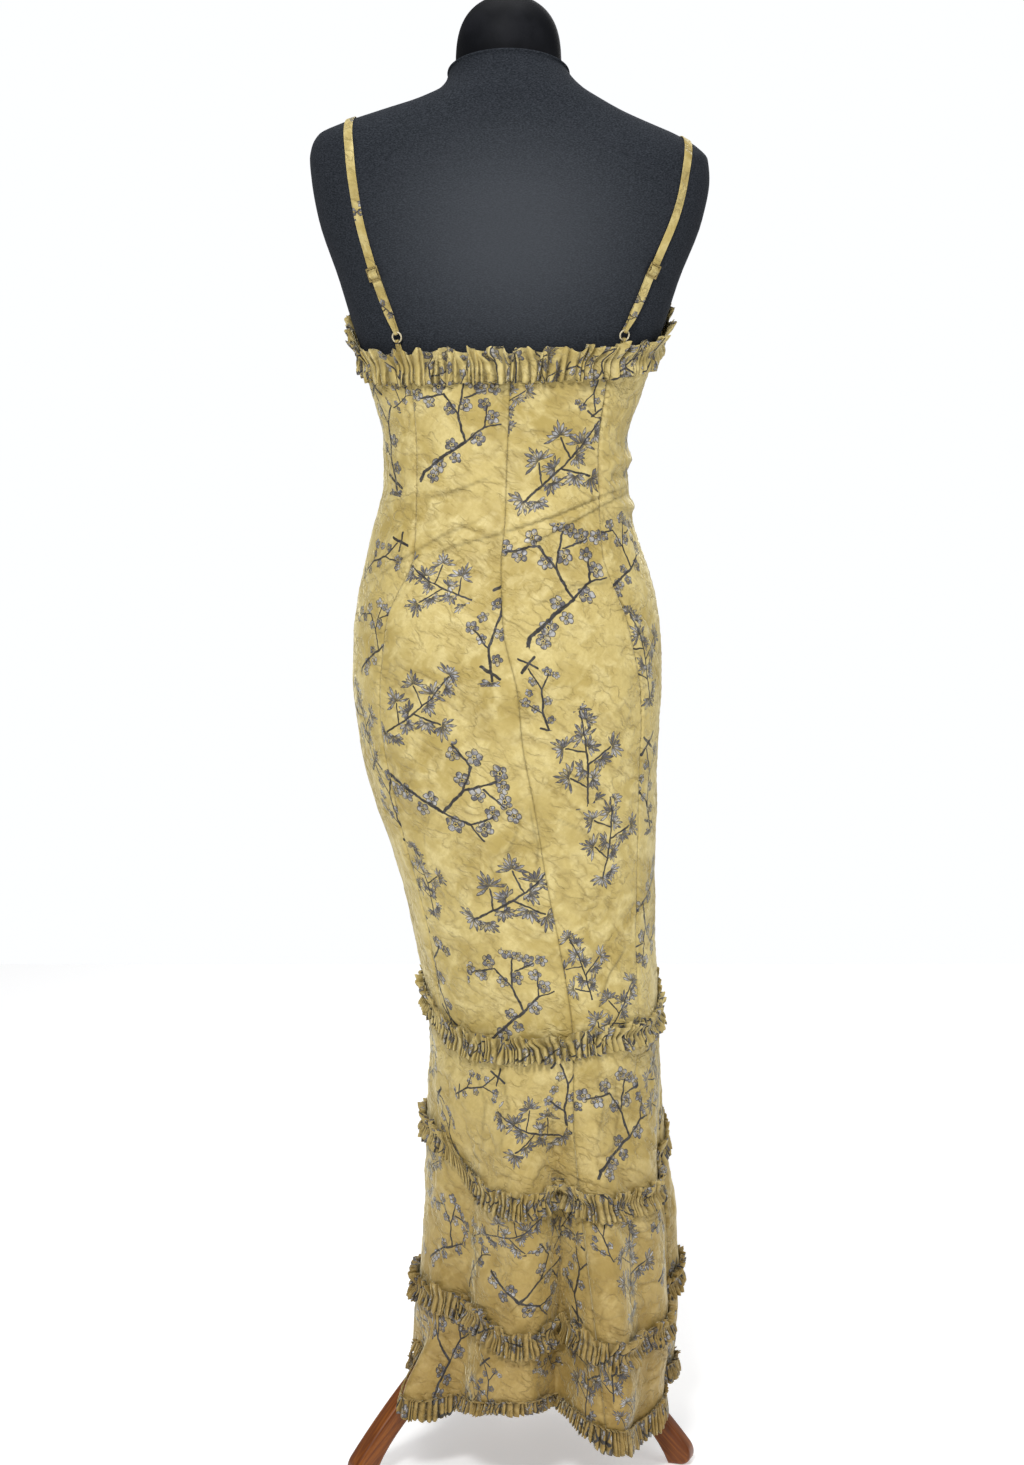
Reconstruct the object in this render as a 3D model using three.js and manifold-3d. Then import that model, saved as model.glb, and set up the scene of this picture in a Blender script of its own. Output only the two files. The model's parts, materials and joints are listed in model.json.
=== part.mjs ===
// Long body-hugging dress with thin straps and gathered ruffles, standing on its dress form.
// Millimetres, +Z up. The floor is z = 0, the stand's pole is near x = 0, y = 0, and the
// front of the dress faces -Y. Angles round the body start at the back centre (+Y) and
// grow towards the wearer's left (+X).

import * as THREE from 'three';
import Module from 'manifold-3d';
import { mergeVertices } from 'three/addons/utils/BufferGeometryUtils.js';

// ---------------------------------------------------------------- driving dimensions

const FORM = {
  bottom: 735, edge: 6, hiddenShare: 0.45, chest: 1290, rim: 1434, rimSlope: 0.36, tiltFrom: 1375,
  columnStep: 6,
};
const NECK = {
  top: 1514, middle: 3.5, halfWidth: 53.5, back: 45, front: 50, dome: 3.2, crown: 0.985,
  rings: 7, columns: 36,
};
const CLOTH = { clearance: 1.3, thickness: 1.4, seam: 0.3, rowSeam: 1 };
const RUFFLE = {
  thickness: 1.2, gather: 0.5, pleat: 5.5, leastPleat: 0.7, pleatRange: 0.6, rest: 0.8, jitter: 1.5,
};
const STRAP = {
  width: 9.5, loopWidth: 3.4, thickness: 0.9, clearance: 1.2, returnTop: 1.7, layer: 0.45,
  turn: 2, turnSteps: 6, taper: 16, tabRise: 6, tabSteps: 5, feeler: 7, reach: 40,
  longStep: 14, weaveStep: 1.8, endStep: 6,
};
const RING = { radius: 5.2, wire: 0.9, segments: 20, sides: 8, lift: 3.7 };
const SLIDER = { width: 13.5, height: 14, bar: 1.6, thickness: 1.5, gap: 0.35 };
const POLE = { radius: 16, sides: 32, socketDepth: 60, play: 0.4 };
const HUB = { radius: 34, bottom: 104, top: 196, chamfer: 6, sides: 36 };
const LEG = {
  width: 22, bevel: 2.5, footFrom: 176, footTo: 188, innerTop: 172, innerBottom: 122, gap: 0.4,
};

// Half-widths to the wearer's left and right and depths to back and front at each height.
// square is the exponent of the rounded outline: 2 is an ellipse, more is boxier.
const SECTIONS = [
  { z: 40, left: 104, right: 169, back: 150, front: 148, square: 2.1 },
  { z: 89, left: 101, right: 170, back: 146, front: 142, square: 2.1 },
  { z: 134, left: 97, right: 173, back: 142, front: 136, square: 2.1 },
  { z: 178, left: 94, right: 173, back: 138, front: 129, square: 2.1 },
  { z: 221, left: 89, right: 171, back: 133, front: 121, square: 2.1 },
  { z: 265, left: 85, right: 167, back: 129, front: 114, square: 2.1 },
  { z: 309, left: 85, right: 161, back: 125, front: 108, square: 2.1 },
  { z: 352, left: 86, right: 158, back: 121, front: 102, square: 2.1 },
  { z: 395, left: 86, right: 155, back: 117, front: 96, square: 2.1 },
  { z: 439, left: 84, right: 152, back: 113, front: 91, square: 2.1 },
  { z: 482, left: 85.5, right: 150, back: 111, front: 88, square: 2.15 },
  { z: 524, left: 93, right: 149, back: 109, front: 88, square: 2.2 },
  { z: 567, left: 102, right: 147, back: 108, front: 90, square: 2.2 },
  { z: 610, left: 112, right: 147, back: 109, front: 93, square: 2.2 },
  { z: 652, left: 125, right: 147.5, back: 110, front: 96, square: 2.2 },
  { z: 694, left: 139, right: 148.5, back: 111, front: 99, square: 2.2 },
  { z: 736, left: 151, right: 148.5, back: 112, front: 101, square: 2.2 },
  { z: 778, left: 158, right: 150, back: 113, front: 103, square: 2.2 },
  { z: 820, left: 161.5, right: 152, back: 113, front: 104, square: 2.2 },
  { z: 862, left: 161.5, right: 151.5, back: 111, front: 103, square: 2.2 },
  { z: 903, left: 157.5, right: 146, back: 106, front: 99, square: 2.2 },
  { z: 944, left: 148.5, right: 136, back: 97, front: 93, square: 2.2 },
  { z: 986, left: 138, right: 122, back: 88, front: 87, square: 2.2 },
  { z: 1027, left: 129.5, right: 116.5, back: 81.5, front: 84, square: 2.2 },
  { z: 1068, left: 130, right: 116, back: 80.5, front: 88, square: 2.2 },
  { z: 1108, left: 139.5, right: 127.5, back: 84, front: 98, square: 2.2 },
  { z: 1150, left: 151, right: 143, back: 88, front: 107, square: 2.25 },
  { z: 1190, left: 164, right: 157, back: 91, front: 110, square: 2.3 },
  { z: 1230, left: 176, right: 170, back: 94, front: 106, square: 2.4 },
  { z: 1290, left: 196, right: 193, back: 94, front: 88, square: 2.6 },
  { z: 1330, left: 203, right: 200, back: 88, front: 74, square: 2.7 },
  { z: 1350, left: 204.5, right: 198, back: 83, front: 67, square: 2.8 },
  { z: 1362, left: 202.5, right: 187, back: 80, front: 64, square: 2.8 },
  { z: 1375, left: 195, right: 165, back: 76, front: 61, square: 2.7 },
  { z: 1385, left: 173, right: 141, back: 73, front: 59, square: 2.5 },
  { z: 1395, left: 139, right: 116, back: 69, front: 58, square: 2.3 },
  { z: 1405, left: 101, right: 95, back: 65, front: 58, square: 2.1 },
  { z: 1415, left: 76, right: 76, back: 60, front: 58, square: 2 },
  { z: 1425, left: 67, right: 64, back: 55, front: 58, square: 2 },
  { z: 1434, left: 64, right: 57, back: 52, front: 58, square: 2 },
];

// Flutes of the flared skirt: a ridge where depth is positive, a valley where it isn't.
const FLUTES = [
  { name: 'left ridge', angle: 78, width: 14, depth: 5, from: 430, full: 300 },
  { name: 'left valley', angle: 45, width: 10, depth: -16, from: 400, full: 290 },
  { name: 'back-left ridge', angle: 13, width: 12, depth: 12, from: 430, full: 300 },
  { name: 'back valley', angle: -5, width: 8, depth: -34, from: 440, full: 300 },
  { name: 'back ridge', angle: -22, width: 11, depth: 50, from: 430, full: 60 },
  { name: 'right ridge', angle: -52, width: 13, depth: 6, from: 430, full: 300 },
  { name: 'right valley', angle: -80, width: 11, depth: -20, from: 420, full: 280 },
  { name: 'front-right ridge', angle: -106, width: 13, depth: 7, from: 420, full: 260 },
  { name: 'front-right valley', angle: -136, width: 11, depth: -18, from: 440, full: 280 },
  { name: 'front ridge', angle: -163, width: 12, depth: 8, from: 440, full: 300 },
  { name: 'front valley', angle: 172, width: 10, depth: -15, from: 430, full: 270 },
  { name: 'front-left ridge', angle: 146, width: 13, depth: 9, from: 450, full: 300 },
  { name: 'front-left valley', angle: 118, width: 11, depth: -17, from: 430, full: 270 },
  { name: 'hem corner', angle: 57, width: 6, depth: 40, from: 170, full: 80 },
];

// The general figure's bust, at the same angle each side of the front centre.
const BUST = { angle: 34, width: 19, z: 1186, above: 52, below: 44, depth: 17 };

// Heights round the body of the top edge, the three ruffle rows and the hem's lowest edge.
const LEVELS = [
  { angle: -180, top: 1212, row1: 508, row2: 350, row3: 195, hem: 70 },
  { angle: -150, top: 1228, row1: 512, row2: 352, row3: 197, hem: 67 },
  { angle: -120, top: 1206, row1: 515, row2: 353, row3: 198, hem: 66 },
  { angle: -100, top: 1182, row1: 494, row2: 330, row3: 182, hem: 66 },
  { angle: -80, top: 1158, row1: 472, row2: 306, row3: 164, hem: 60 },
  { angle: -60, top: 1150, row1: 463, row2: 297, row3: 154, hem: 54 },
  { angle: -40, top: 1147, row1: 463, row2: 293, row3: 150, hem: 42 },
  { angle: -20, top: 1145, row1: 461, row2: 296, row3: 154, hem: 58 },
  { angle: -8, top: 1144, row1: 457, row2: 303, row3: 167, hem: 78 },
  { angle: 12, top: 1143, row1: 454, row2: 298, row3: 157, hem: 83 },
  { angle: 32, top: 1142, row1: 454, row2: 306, row3: 174, hem: 72 },
  { angle: 48, top: 1141, row1: 460, row2: 316, row3: 177, hem: 62 },
  { angle: 53, top: 1141, row1: 463, row2: 334, row3: 179, hem: 54 },
  { angle: 57, top: 1142, row1: 468, row2: 344, row3: 181, hem: 60 },
  { angle: 62, top: 1142, row1: 474, row2: 349, row3: 183, hem: 108 },
  { angle: 74, top: 1144, row1: 486, row2: 354, row3: 183, hem: 111 },
  { angle: 84, top: 1150, row1: 490, row2: 356, row3: 184, hem: 84 },
  { angle: 100, top: 1172, row1: 497, row2: 355, row3: 186, hem: 68 },
  { angle: 120, top: 1200, row1: 503, row2: 352, row3: 190, hem: 66 },
  { angle: 145, top: 1226, row1: 508, row2: 350, row3: 194, hem: 67 },
  { angle: 157, top: 1222, row1: 508, row2: 350, row3: 195, hem: 88 },
  { angle: 173, top: 1214, row1: 508, row2: 350, row3: 195, hem: 88 },
  { angle: 180, top: 1212, row1: 508, row2: 350, row3: 195, hem: 70 },
];

// Where the seams that show from the back run: sideways distance from the pole at heights.
const BACK_SEAMS = {
  centre: [
    { z: 430, x: -66 }, { z: 560, x: -48 }, { z: 620, x: -36 }, { z: 700, x: -23 },
    { z: 770, x: -10 }, { z: 815, x: -6 }, { z: 885, x: 9 }, { z: 945, x: 11 },
    { z: 990, x: 7 }, { z: 1050, x: 5 }, { z: 1150, x: 1 },
  ],
  left: [
    { z: 430, x: 64 }, { z: 560, x: 83 }, { z: 700, x: 117 }, { z: 800, x: 133 },
    { z: 885, x: 126 }, { z: 960, x: 97 }, { z: 1050, x: 95 }, { z: 1150, x: 102 },
  ],
  right: [
    { z: 430, x: -132 }, { z: 560, x: -126 }, { z: 700, x: -128 }, { z: 800, x: -130 },
    { z: 885, x: -116 }, { z: 960, x: -90 }, { z: 1050, x: -86 }, { z: 1150, x: -97 },
  ],
};
const SIDE_SEAMS = { left: 96, right: -92 };
const TIER_SEAMS = { centres: [-12, -12, -18], left: 90, right: -90 };

const PANEL_ROWS = [0, 0.12, 0.25, 0.37, 0.48, 0.57, 0.65, 0.73, 0.8, 0.87, 0.935, 1];
const PANEL_COLUMNS = { back: 8, side: 7, front: 24 };
const TIER_ROWS = [0, 0.5, 1];
const COLUMN_STEP = 6;
const RUFFLES = {
  neckline: { level: 'top', below: 19, above: 18, clearance: 0.6 },
  row1: { level: 'row1', below: 15, above: 14, clearance: 0.6 },
  row2: { level: 'row2', below: 15, above: 14, clearance: 1.3 },
  row3: { level: 'row3', below: 15, above: 14, clearance: 3 },
  hem: { level: 'hem', below: 27, above: 4, clearance: 1.4, lift: 27 },
};

// Each strap from its front end over the shoulder and down the back to its ring. The view
// says from where a point lies on the form: x is kept, with z in front and behind and y on top.
const STRAP_ROUTES = {
  left: [
    { view: 'front', x: 96, z: 1230 }, { view: 'front', x: 103, z: 1246 },
    { view: 'front', x: 118, z: 1275 }, { view: 'front', x: 134, z: 1308 },
    { view: 'front', x: 148, z: 1340 }, { view: 'front', x: 156, z: 1362 },
    { view: 'top', x: 160, y: -18 }, { view: 'top', x: 161, y: 4 }, { view: 'top', x: 161, y: 26 },
    { view: 'back', x: 161, z: 1362 }, { view: 'back', x: 159, z: 1335 },
    { view: 'back', x: 154, z: 1303 }, { view: 'back', x: 147, z: 1270 },
    { view: 'back', x: 136, z: 1234 }, { view: 'back', x: 125, z: 1203 },
    { view: 'back', x: 116, z: 1181 },
  ],
  right: [
    { view: 'front', x: -96, z: 1231 }, { view: 'front', x: -104, z: 1246 },
    { view: 'front', x: -120, z: 1272 }, { view: 'front', x: -140, z: 1304 },
    { view: 'front', x: -158, z: 1334 }, { view: 'front', x: -168, z: 1352 },
    { view: 'top', x: -172, y: -16 }, { view: 'top', x: -174, y: 4 }, { view: 'top', x: -174, y: 24 },
    { view: 'back', x: -173, z: 1346 }, { view: 'back', x: -169, z: 1317 },
    { view: 'back', x: -157, z: 1278 }, { view: 'back', x: -146, z: 1253 },
    { view: 'back', x: -138, z: 1236 }, { view: 'back', x: -125, z: 1204 },
    { view: 'back', x: -114, z: 1183 },
  ],
};
const STRAP_ENDS = {
  left: { slider: 1234, ring: { x: 113, z: 1172 }, tab: { x: 110, z: 1144 } },
  right: { slider: 1238, ring: { x: -110.5, z: 1174 }, tab: { x: -108, z: 1151 } },
};

// A leg's side outline: three curves by distance from the pole and height, with their pulls.
const LEG_CURVES = {
  toe: { pull1: [199, 2.5], pull2: [200, 12], end: [193, 20] },
  top: { pull1: [150, 72], pull2: [100, 118] },
  underside: { pull1: [94, 96], pull2: [158, 52] },
};
const LEGS = [
  { name: 'leg_left', x: 165, y: 110 },
  { name: 'leg_right', x: -189, y: 65 },
  { name: 'leg_front', x: 26, y: -198 },
];

const COLOURS = {
  cloth: { color: 0xb09a52, roughness: 0.62, metalness: 0 },
  jersey: { color: 0x2c2e31, roughness: 0.95, metalness: 0 },
  neckCover: { color: 0x1b1c20, roughness: 0.8, metalness: 0 },
  wood: { color: 0x8a4a1f, roughness: 0.4, metalness: 0 },
  slider: { color: 0xb59a55, roughness: 0.4, metalness: 0.3 },
  ring: { color: 0xd8cfae, roughness: 0.35, metalness: 0.2 },
};

// ---------------------------------------------------------------- helpers

const wasm = await Module();
wasm.setup();

const radians = (degrees) => (degrees * Math.PI) / 180;
const turned = (degrees) => ((((degrees + 180) % 360) + 360) % 360) - 180;
const signedPower = (value, power) => Math.sign(value) * Math.abs(value) ** power;
const smooth = (value) => {
  const part = Math.min(1, Math.max(0, value));
  return part * part * (3 - 2 * part);
};
const mix = (a, b, share) => a + (b - a) * share;

/** A repeatable number from 0 to 1 that varies unevenly with its index. */
const uneven = (index) => {
  const wave = Math.sin(index * 12.9898 + 4.1) * 43758.5453;
  return wave - Math.floor(wave);
};

/** The value of one named column at a key value, by a curve that never overshoots its rows. */
function along(rows, key, name, value) {
  const last = rows.length - 1;
  if (value <= rows[0][key]) return rows[0][name];
  if (value >= rows[last][key]) return rows[last][name];
  let i = 0;
  while (value > rows[i + 1][key]) i += 1;
  const slope = (j) => (rows[j + 1][name] - rows[j][name]) / (rows[j + 1][key] - rows[j][key]);
  const tangent = (j) => {
    if (j === 0 || j === last) return slope(Math.min(j, last - 1));
    const product = slope(j - 1) * slope(j);
    return product > 0 ? (2 * product) / (slope(j - 1) + slope(j)) : 0;
  };
  const span = rows[i + 1][key] - rows[i][key];
  const u = (value - rows[i][key]) / span;
  const start = rows[i][name] * (1 + 2 * u) * (1 - u) ** 2 + tangent(i) * span * u * (1 - u) ** 2;
  const end = rows[i + 1][name] * u * u * (3 - 2 * u) + tangent(i + 1) * span * u * u * (u - 1);
  return start + end;
}

const levelAt = (name, angle) => along(LEVELS, 'angle', name, turned(angle));

/** A bell-shaped share, 1 at the middle, for a fold or mound round the body. */
const bell = (angle, middle, width) => Math.exp(-((turned(angle - middle) / width) ** 2));

// ---------------------------------------------------------------- the body surface

/** How far folds and bust push the surface out from the plain section, in mm. */
function push(angle, z) {
  let total = 0;
  for (const { angle: middle, width, depth, from, full } of FLUTES) {
    total += depth * smooth((from - z) / (from - full)) * bell(angle, middle, width);
  }
  const rise = z - BUST.z;
  const height = Math.exp(-((rise / (rise > 0 ? BUST.above : BUST.below)) ** 2));
  const sides = bell(angle, 180 - BUST.angle, BUST.width) + bell(angle, BUST.angle - 180, BUST.width);
  return total + BUST.depth * height * sides;
}

/** The plan point of the form's skin at an angle and height. */
function skin(angle, z) {
  const size = (name) => along(SECTIONS, 'z', name, z);
  const middle = (size('left') - size('right')) / 2;
  const half = (size('left') + size('right')) / 2;
  const power = 2 / size('square');
  const sine = Math.sin(radians(angle));
  const cosine = Math.cos(radians(angle));
  const across = half * signedPower(sine, power);
  const deep = (cosine > 0 ? size('back') : size('front')) * signedPower(cosine, power);
  const reach = Math.hypot(across, deep);
  const scale = 1 + push(angle, z) / reach;
  return new THREE.Vector2(middle + across * scale, deep * scale);
}

/** A point a given distance outside the skin, measured level. */
function outside(angle, z, distance) {
  const step = 0.6;
  const tangent = skin(angle + step, z).sub(skin(angle - step, z)).normalize();
  const point = skin(angle, z);
  return new THREE.Vector3(point.x - tangent.y * distance, point.y + tangent.x * distance, z);
}

/** The angle at which the skin's back lies at a sideways position. */
function angleAtX(x, z) {
  let low = -89;
  let high = 89;
  for (let turn = 0; turn < 40; turn += 1) {
    const middle = (low + high) / 2;
    if (skin(middle, z).x < x) low = middle;
    else high = middle;
  }
  return (low + high) / 2;
}

/** The plan distance from the section's middle, used to turn millimetres into degrees. */
function degreesFor(length, angle, z) {
  const ahead = skin(angle + 0.5, z);
  return length / ahead.distanceTo(skin(angle - 0.5, z));
}

// ---------------------------------------------------------------- solids from grids

/** A closed wall between two grids of points. Faces point out; wraps makes it a full ring. */
function wallGeometry(inner, outer, wraps) {
  const columns = inner.length;
  const rows = inner[0].length;
  const positions = [];
  const store = (grid) => {
    const first = positions.length / 3;
    grid.forEach((line) => line.forEach((p) => positions.push(p.x, p.y, p.z)));
    return (i, j) => first + (i % columns) * rows + j;
  };
  const inside = store(inner);
  const out = store(outer);
  const faces = [];
  const quad = (a, b, c, d) => faces.push(a, b, c, a, c, d);
  const steps = wraps ? columns : columns - 1;
  for (let i = 0; i < steps; i += 1) {
    for (let j = 0; j < rows - 1; j += 1) {
      quad(out(i, j), out(i, j + 1), out(i + 1, j + 1), out(i + 1, j));
      quad(inside(i, j), inside(i + 1, j), inside(i + 1, j + 1), inside(i, j + 1));
    }
    quad(inside(i, 0), out(i, 0), out(i + 1, 0), inside(i + 1, 0));
    quad(inside(i, rows - 1), inside(i + 1, rows - 1), out(i + 1, rows - 1), out(i, rows - 1));
  }
  if (!wraps) {
    const end = columns - 1;
    for (let j = 0; j < rows - 1; j += 1) {
      quad(inside(0, j), inside(0, j + 1), out(0, j + 1), out(0, j));
      quad(inside(end, j), out(end, j), out(end, j + 1), inside(end, j + 1));
    }
  }
  return indexed(positions, faces);
}

/** A geometry from flat lists of coordinates and corner numbers. */
function indexed(positions, faces) {
  const geometry = new THREE.BufferGeometry();
  geometry.setAttribute('position', new THREE.Float32BufferAttribute(positions, 3));
  geometry.setIndex(faces);
  geometry.computeVertexNormals();
  return geometry;
}

/** A closed body from rings of points, bottom first, with its ends filled from their middles. */
function loftGeometry(rings) {
  const count = rings[0].length;
  const positions = rings.flat().flatMap((p) => [p.x, p.y, p.z]);
  const faces = [];
  const at = (ring, i) => ring * count + (i % count);
  for (let ring = 0; ring < rings.length - 1; ring += 1) {
    for (let i = 0; i < count; i += 1) {
      faces.push(at(ring, i), at(ring + 1, i), at(ring + 1, i + 1));
      faces.push(at(ring, i), at(ring + 1, i + 1), at(ring, i + 1));
    }
  }
  const cap = (ring, flip) => {
    const middle = new THREE.Vector3();
    rings[ring].forEach((p) => middle.addScaledVector(p, 1 / count));
    const centre = positions.push(middle.x, middle.y, middle.z) / 3 - 1;
    for (let i = 0; i < count; i += 1) {
      const pair = [at(ring, i), at(ring, i + 1)];
      faces.push(centre, ...(flip ? pair.reverse() : pair));
    }
  };
  cap(0, false);
  cap(rings.length - 1, true);
  return indexed(positions, faces);
}

/** A three.js geometry as a manifold solid, and back. */
function solidOf(geometry) {
  const bare = geometry.clone();
  bare.deleteAttribute('normal');
  bare.deleteAttribute('uv');
  const merged = mergeVertices(bare, 1e-4);
  return new wasm.Manifold(new wasm.Mesh({
    numProp: 3,
    vertProperties: new Float32Array(merged.attributes.position.array),
    triVerts: new Uint32Array(merged.index.array),
  }));
}

function geometryOf(solid) {
  const mesh = solid.getMesh();
  return indexed(Array.from(mesh.vertProperties), Array.from(mesh.triVerts));
}

// ---------------------------------------------------------------- the part

const model = new THREE.Group();

/** Adds one named sub-part in one of the finishes. */
function add(name, geometry, finish) {
  const mesh = new THREE.Mesh(geometry, new THREE.MeshStandardMaterial(COLOURS[finish]));
  mesh.name = name;
  model.add(mesh);
  return mesh;
}

/** The cloth's level at a share of the way from the first ruffle row to the top edge. */
const panelLevel = (share, angle) => mix(levelAt('row1', angle), levelAt('top', angle), share);

/** One cut panel between two seams, each given as an angle by height. */
function panel(name, seams, levels, columns) {
  const half = CLOTH.seam / 2;
  const grid = (distance) => {
    const lines = [];
    for (let i = 0; i <= columns; i += 1) {
      lines.push(levels.map((share, row) => {
        const start = seams[0](share);
        const end = seams[1](share);
        const wide = mix(start, end, i / columns);
        const z = panelLevel(share, wide) + (row === 0 ? CLOTH.rowSeam / 2 : 0);
        const trim = (i === 0 ? half : 0) - (i === columns ? half : 0);
        return outside(wide + degreesFor(trim, wide, z), z, distance);
      }));
    }
    return lines;
  };
  const inner = grid(CLOTH.clearance);
  const outer = grid(CLOTH.clearance + CLOTH.thickness);
  add(name, wallGeometry(inner, outer, false), 'cloth');
}

/** A back seam's angle at a share of the panel's height. */
function backSeam(rows) {
  return (share) => {
    const guess = panelLevel(share, 0);
    const first = angleAtX(along(rows, 'z', 'x', guess), guess);
    const z = panelLevel(share, first);
    return angleAtX(along(rows, 'z', 'x', z), z);
  };
}

function buildPanels() {
  const centre = backSeam(BACK_SEAMS.centre);
  const left = backSeam(BACK_SEAMS.left);
  const right = backSeam(BACK_SEAMS.right);
  const sideLeft = () => SIDE_SEAMS.left;
  const sideRight = () => SIDE_SEAMS.right;
  const around = () => SIDE_SEAMS.right + 360;
  panel('back_left', [centre, left], PANEL_ROWS, PANEL_COLUMNS.back);
  panel('back_right', [right, centre], PANEL_ROWS, PANEL_COLUMNS.back);
  panel('side_left', [left, sideLeft], PANEL_ROWS, PANEL_COLUMNS.side);
  panel('side_right', [sideRight, right], PANEL_ROWS, PANEL_COLUMNS.side);
  panel('front', [sideLeft, around], PANEL_ROWS, PANEL_COLUMNS.front);
}

/** The even angles between two seams, with the seams themselves trimmed for their gap. */
function tierAngles(start, end) {
  const angles = [start];
  const first = Math.ceil((start + COLUMN_STEP / 2) / COLUMN_STEP) * COLUMN_STEP;
  for (let angle = first; angle < end - COLUMN_STEP / 2; angle += COLUMN_STEP) angles.push(angle);
  angles.push(end);
  return angles;
}

/** One piece of a skirt tier between two levels. */
function tierPiece(name, start, end, upper, lower) {
  const half = CLOTH.seam / 2;
  const angles = tierAngles(start, end);
  const grid = (distance) => angles.map((angle, i) => TIER_ROWS.map((share) => {
    const z = mix(lower(angle) + CLOTH.rowSeam / 2, upper(angle) - CLOTH.rowSeam / 2, share);
    const trim = (i === 0 ? half : 0) - (i === angles.length - 1 ? half : 0);
    return outside(angle + degreesFor(trim, angle, z), z, distance);
  }));
  const inner = grid(CLOTH.clearance);
  const outer = grid(CLOTH.clearance + CLOTH.thickness);
  add(name, wallGeometry(inner, outer, false), 'cloth');
}

function buildTiers() {
  const level = (name) => (angle) => levelAt(name, angle);
  const hemSeam = (angle) => levelAt('hem', angle) + RUFFLES.hem.lift;
  const edges = [level('row1'), level('row2'), level('row3'), hemSeam];
  for (let tier = 0; tier < edges.length - 1; tier += 1) {
    const [upper, lower] = [edges[tier], edges[tier + 1]];
    const prefix = `tier${tier + 1}`;
    const { centres, left, right } = TIER_SEAMS;
    const centre = centres[tier];
    tierPiece(`${prefix}_back_left`, centre, left, upper, lower);
    tierPiece(`${prefix}_back_right`, right, centre, upper, lower);
    tierPiece(`${prefix}_front`, left, right + 360, upper, lower);
  }
}

/** The heights of every row of cloth points at an angle, from the hem seam to the top edge. */
function clothLevels(angle) {
  const seams = [levelAt('hem', angle) + RUFFLES.hem.lift];
  ['row3', 'row2', 'row1'].forEach((row) => seams.push(levelAt(row, angle)));
  const skirt = seams.slice(0, -1).flatMap((low, tier) => (
    TIER_ROWS.slice(0, -1).map((share) => mix(low, seams[tier + 1], share))
  ));
  return [...skirt, ...PANEL_ROWS.map((share) => panelLevel(share, angle))];
}

/** A point a distance outside the cloth as its flat faces run between two rows. */
function onCloth(angle, z, distance) {
  const levels = clothLevels(angle);
  const above = levels.findIndex((level) => level > z);
  if (above < 1) return outside(angle, z, distance);
  const [low, high] = [levels[above - 1], levels[above]];
  const lower = outside(angle, low, distance);
  return lower.lerp(outside(angle, high, distance), (z - low) / (high - low));
}

/** A gathered strip all the way round, held along one line with its edges pleated free. */
function ruffle(name, { level, below, above, clearance, lift = 0 }, seed) {
  const base = CLOTH.clearance + CLOTH.thickness + clearance;
  const stations = [{ rise: -below, free: 1 }, { rise: 0, free: 0 }, { rise: above, free: 1 }];
  const count = 360 / COLUMN_STEP;
  const inner = [];
  const outer = [];
  for (let i = 0; i < count; i += 1) {
    const angle = -180 + i * COLUMN_STEP;
    const line = levelAt(level, angle) + lift;
    const size = RUFFLE.leastPleat + RUFFLE.pleatRange * uneven(i + seed);
    const swing = i % 2 === 0 ? RUFFLE.pleat * size : RUFFLE.rest;
    const at = (extra) => stations.map(({ rise, free }, row) => {
      const jitter = free * RUFFLE.jitter * (uneven(i * 3 + row + seed) - 0.5);
      const distance = base + mix(RUFFLE.gather, swing, free) + extra;
      return onCloth(angle, line + rise + jitter, distance);
    });
    inner.push(at(0));
    outer.push(at(RUFFLE.thickness));
  }
  add(`ruffle_${name}`, wallGeometry(inner, outer, true), 'cloth');
}

function buildRuffles() {
  Object.entries(RUFFLES).forEach(([name, sizes], index) => ruffle(name, sizes, index * 101));
}

/** Lifts the form's upper rows so that the neck's rim leans, higher at the back. */
function leaned(point) {
  const share = smooth((point.z - FORM.tiltFrom) / (FORM.rim - FORM.tiltFrom));
  return new THREE.Vector3(point.x, point.y, point.z + FORM.rimSlope * point.y * share);
}

function buildTorso() {
  const { bottom, edge, chest, columnStep } = FORM;
  const angles = Array.from({ length: 360 / columnStep }, (_, i) => -180 + i * columnStep);
  const ring = (level, inset = 0) => (
    angles.map((angle) => leaned(outside(angle, level(angle), -inset)))
  );
  const flat = (z) => () => z;
  const rings = [ring(flat(bottom), edge), ring(flat(bottom + edge), edge / 3)];
  const share = (part) => (angle) => panelLevel(part, angle);
  PANEL_ROWS.filter((part) => part > FORM.hiddenShare).forEach((part) => {
    rings.push(ring(share(part)));
  });
  [1 / 3, 2 / 3].forEach((part) => {
    rings.push(ring((angle) => mix(levelAt('top', angle), chest, part)));
  });
  SECTIONS.filter(({ z }) => z >= chest).forEach(({ z }) => rings.push(ring(flat(z))));
  const body = solidOf(loftGeometry(rings));
  const socket = new THREE.CylinderGeometry(
    POLE.radius + POLE.play, POLE.radius + POLE.play, POLE.socketDepth * 2, POLE.sides,
  );
  socket.rotateX(Math.PI / 2);
  socket.translate(0, 0, FORM.bottom);
  return add('torso', geometryOf(body.subtract(solidOf(socket))), 'jersey');
}

/** The covered cap above the form's rim: rings that shrink to a dome. */
function buildNeck() {
  const rings = [];
  for (let step = 0; step <= NECK.rings; step += 1) {
    const share = step / NECK.rings;
    const round = Math.sqrt(1 - (share * NECK.crown) ** NECK.dome);
    rings.push(Array.from({ length: NECK.columns }, (_, i) => {
      const angle = radians(-180 + (i * 360) / NECK.columns);
      const deep = Math.cos(angle) > 0 ? NECK.back : NECK.front;
      const x = NECK.middle + NECK.halfWidth * round * Math.sin(angle);
      const y = deep * round * Math.cos(angle);
      const seat = FORM.rim + FORM.rimSlope * y + CLOTH.seam;
      return new THREE.Vector3(x, y, mix(seat, NECK.top, share));
    }));
  }
  add('neck_cap', loftGeometry(rings), 'neckCover');
}

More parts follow.
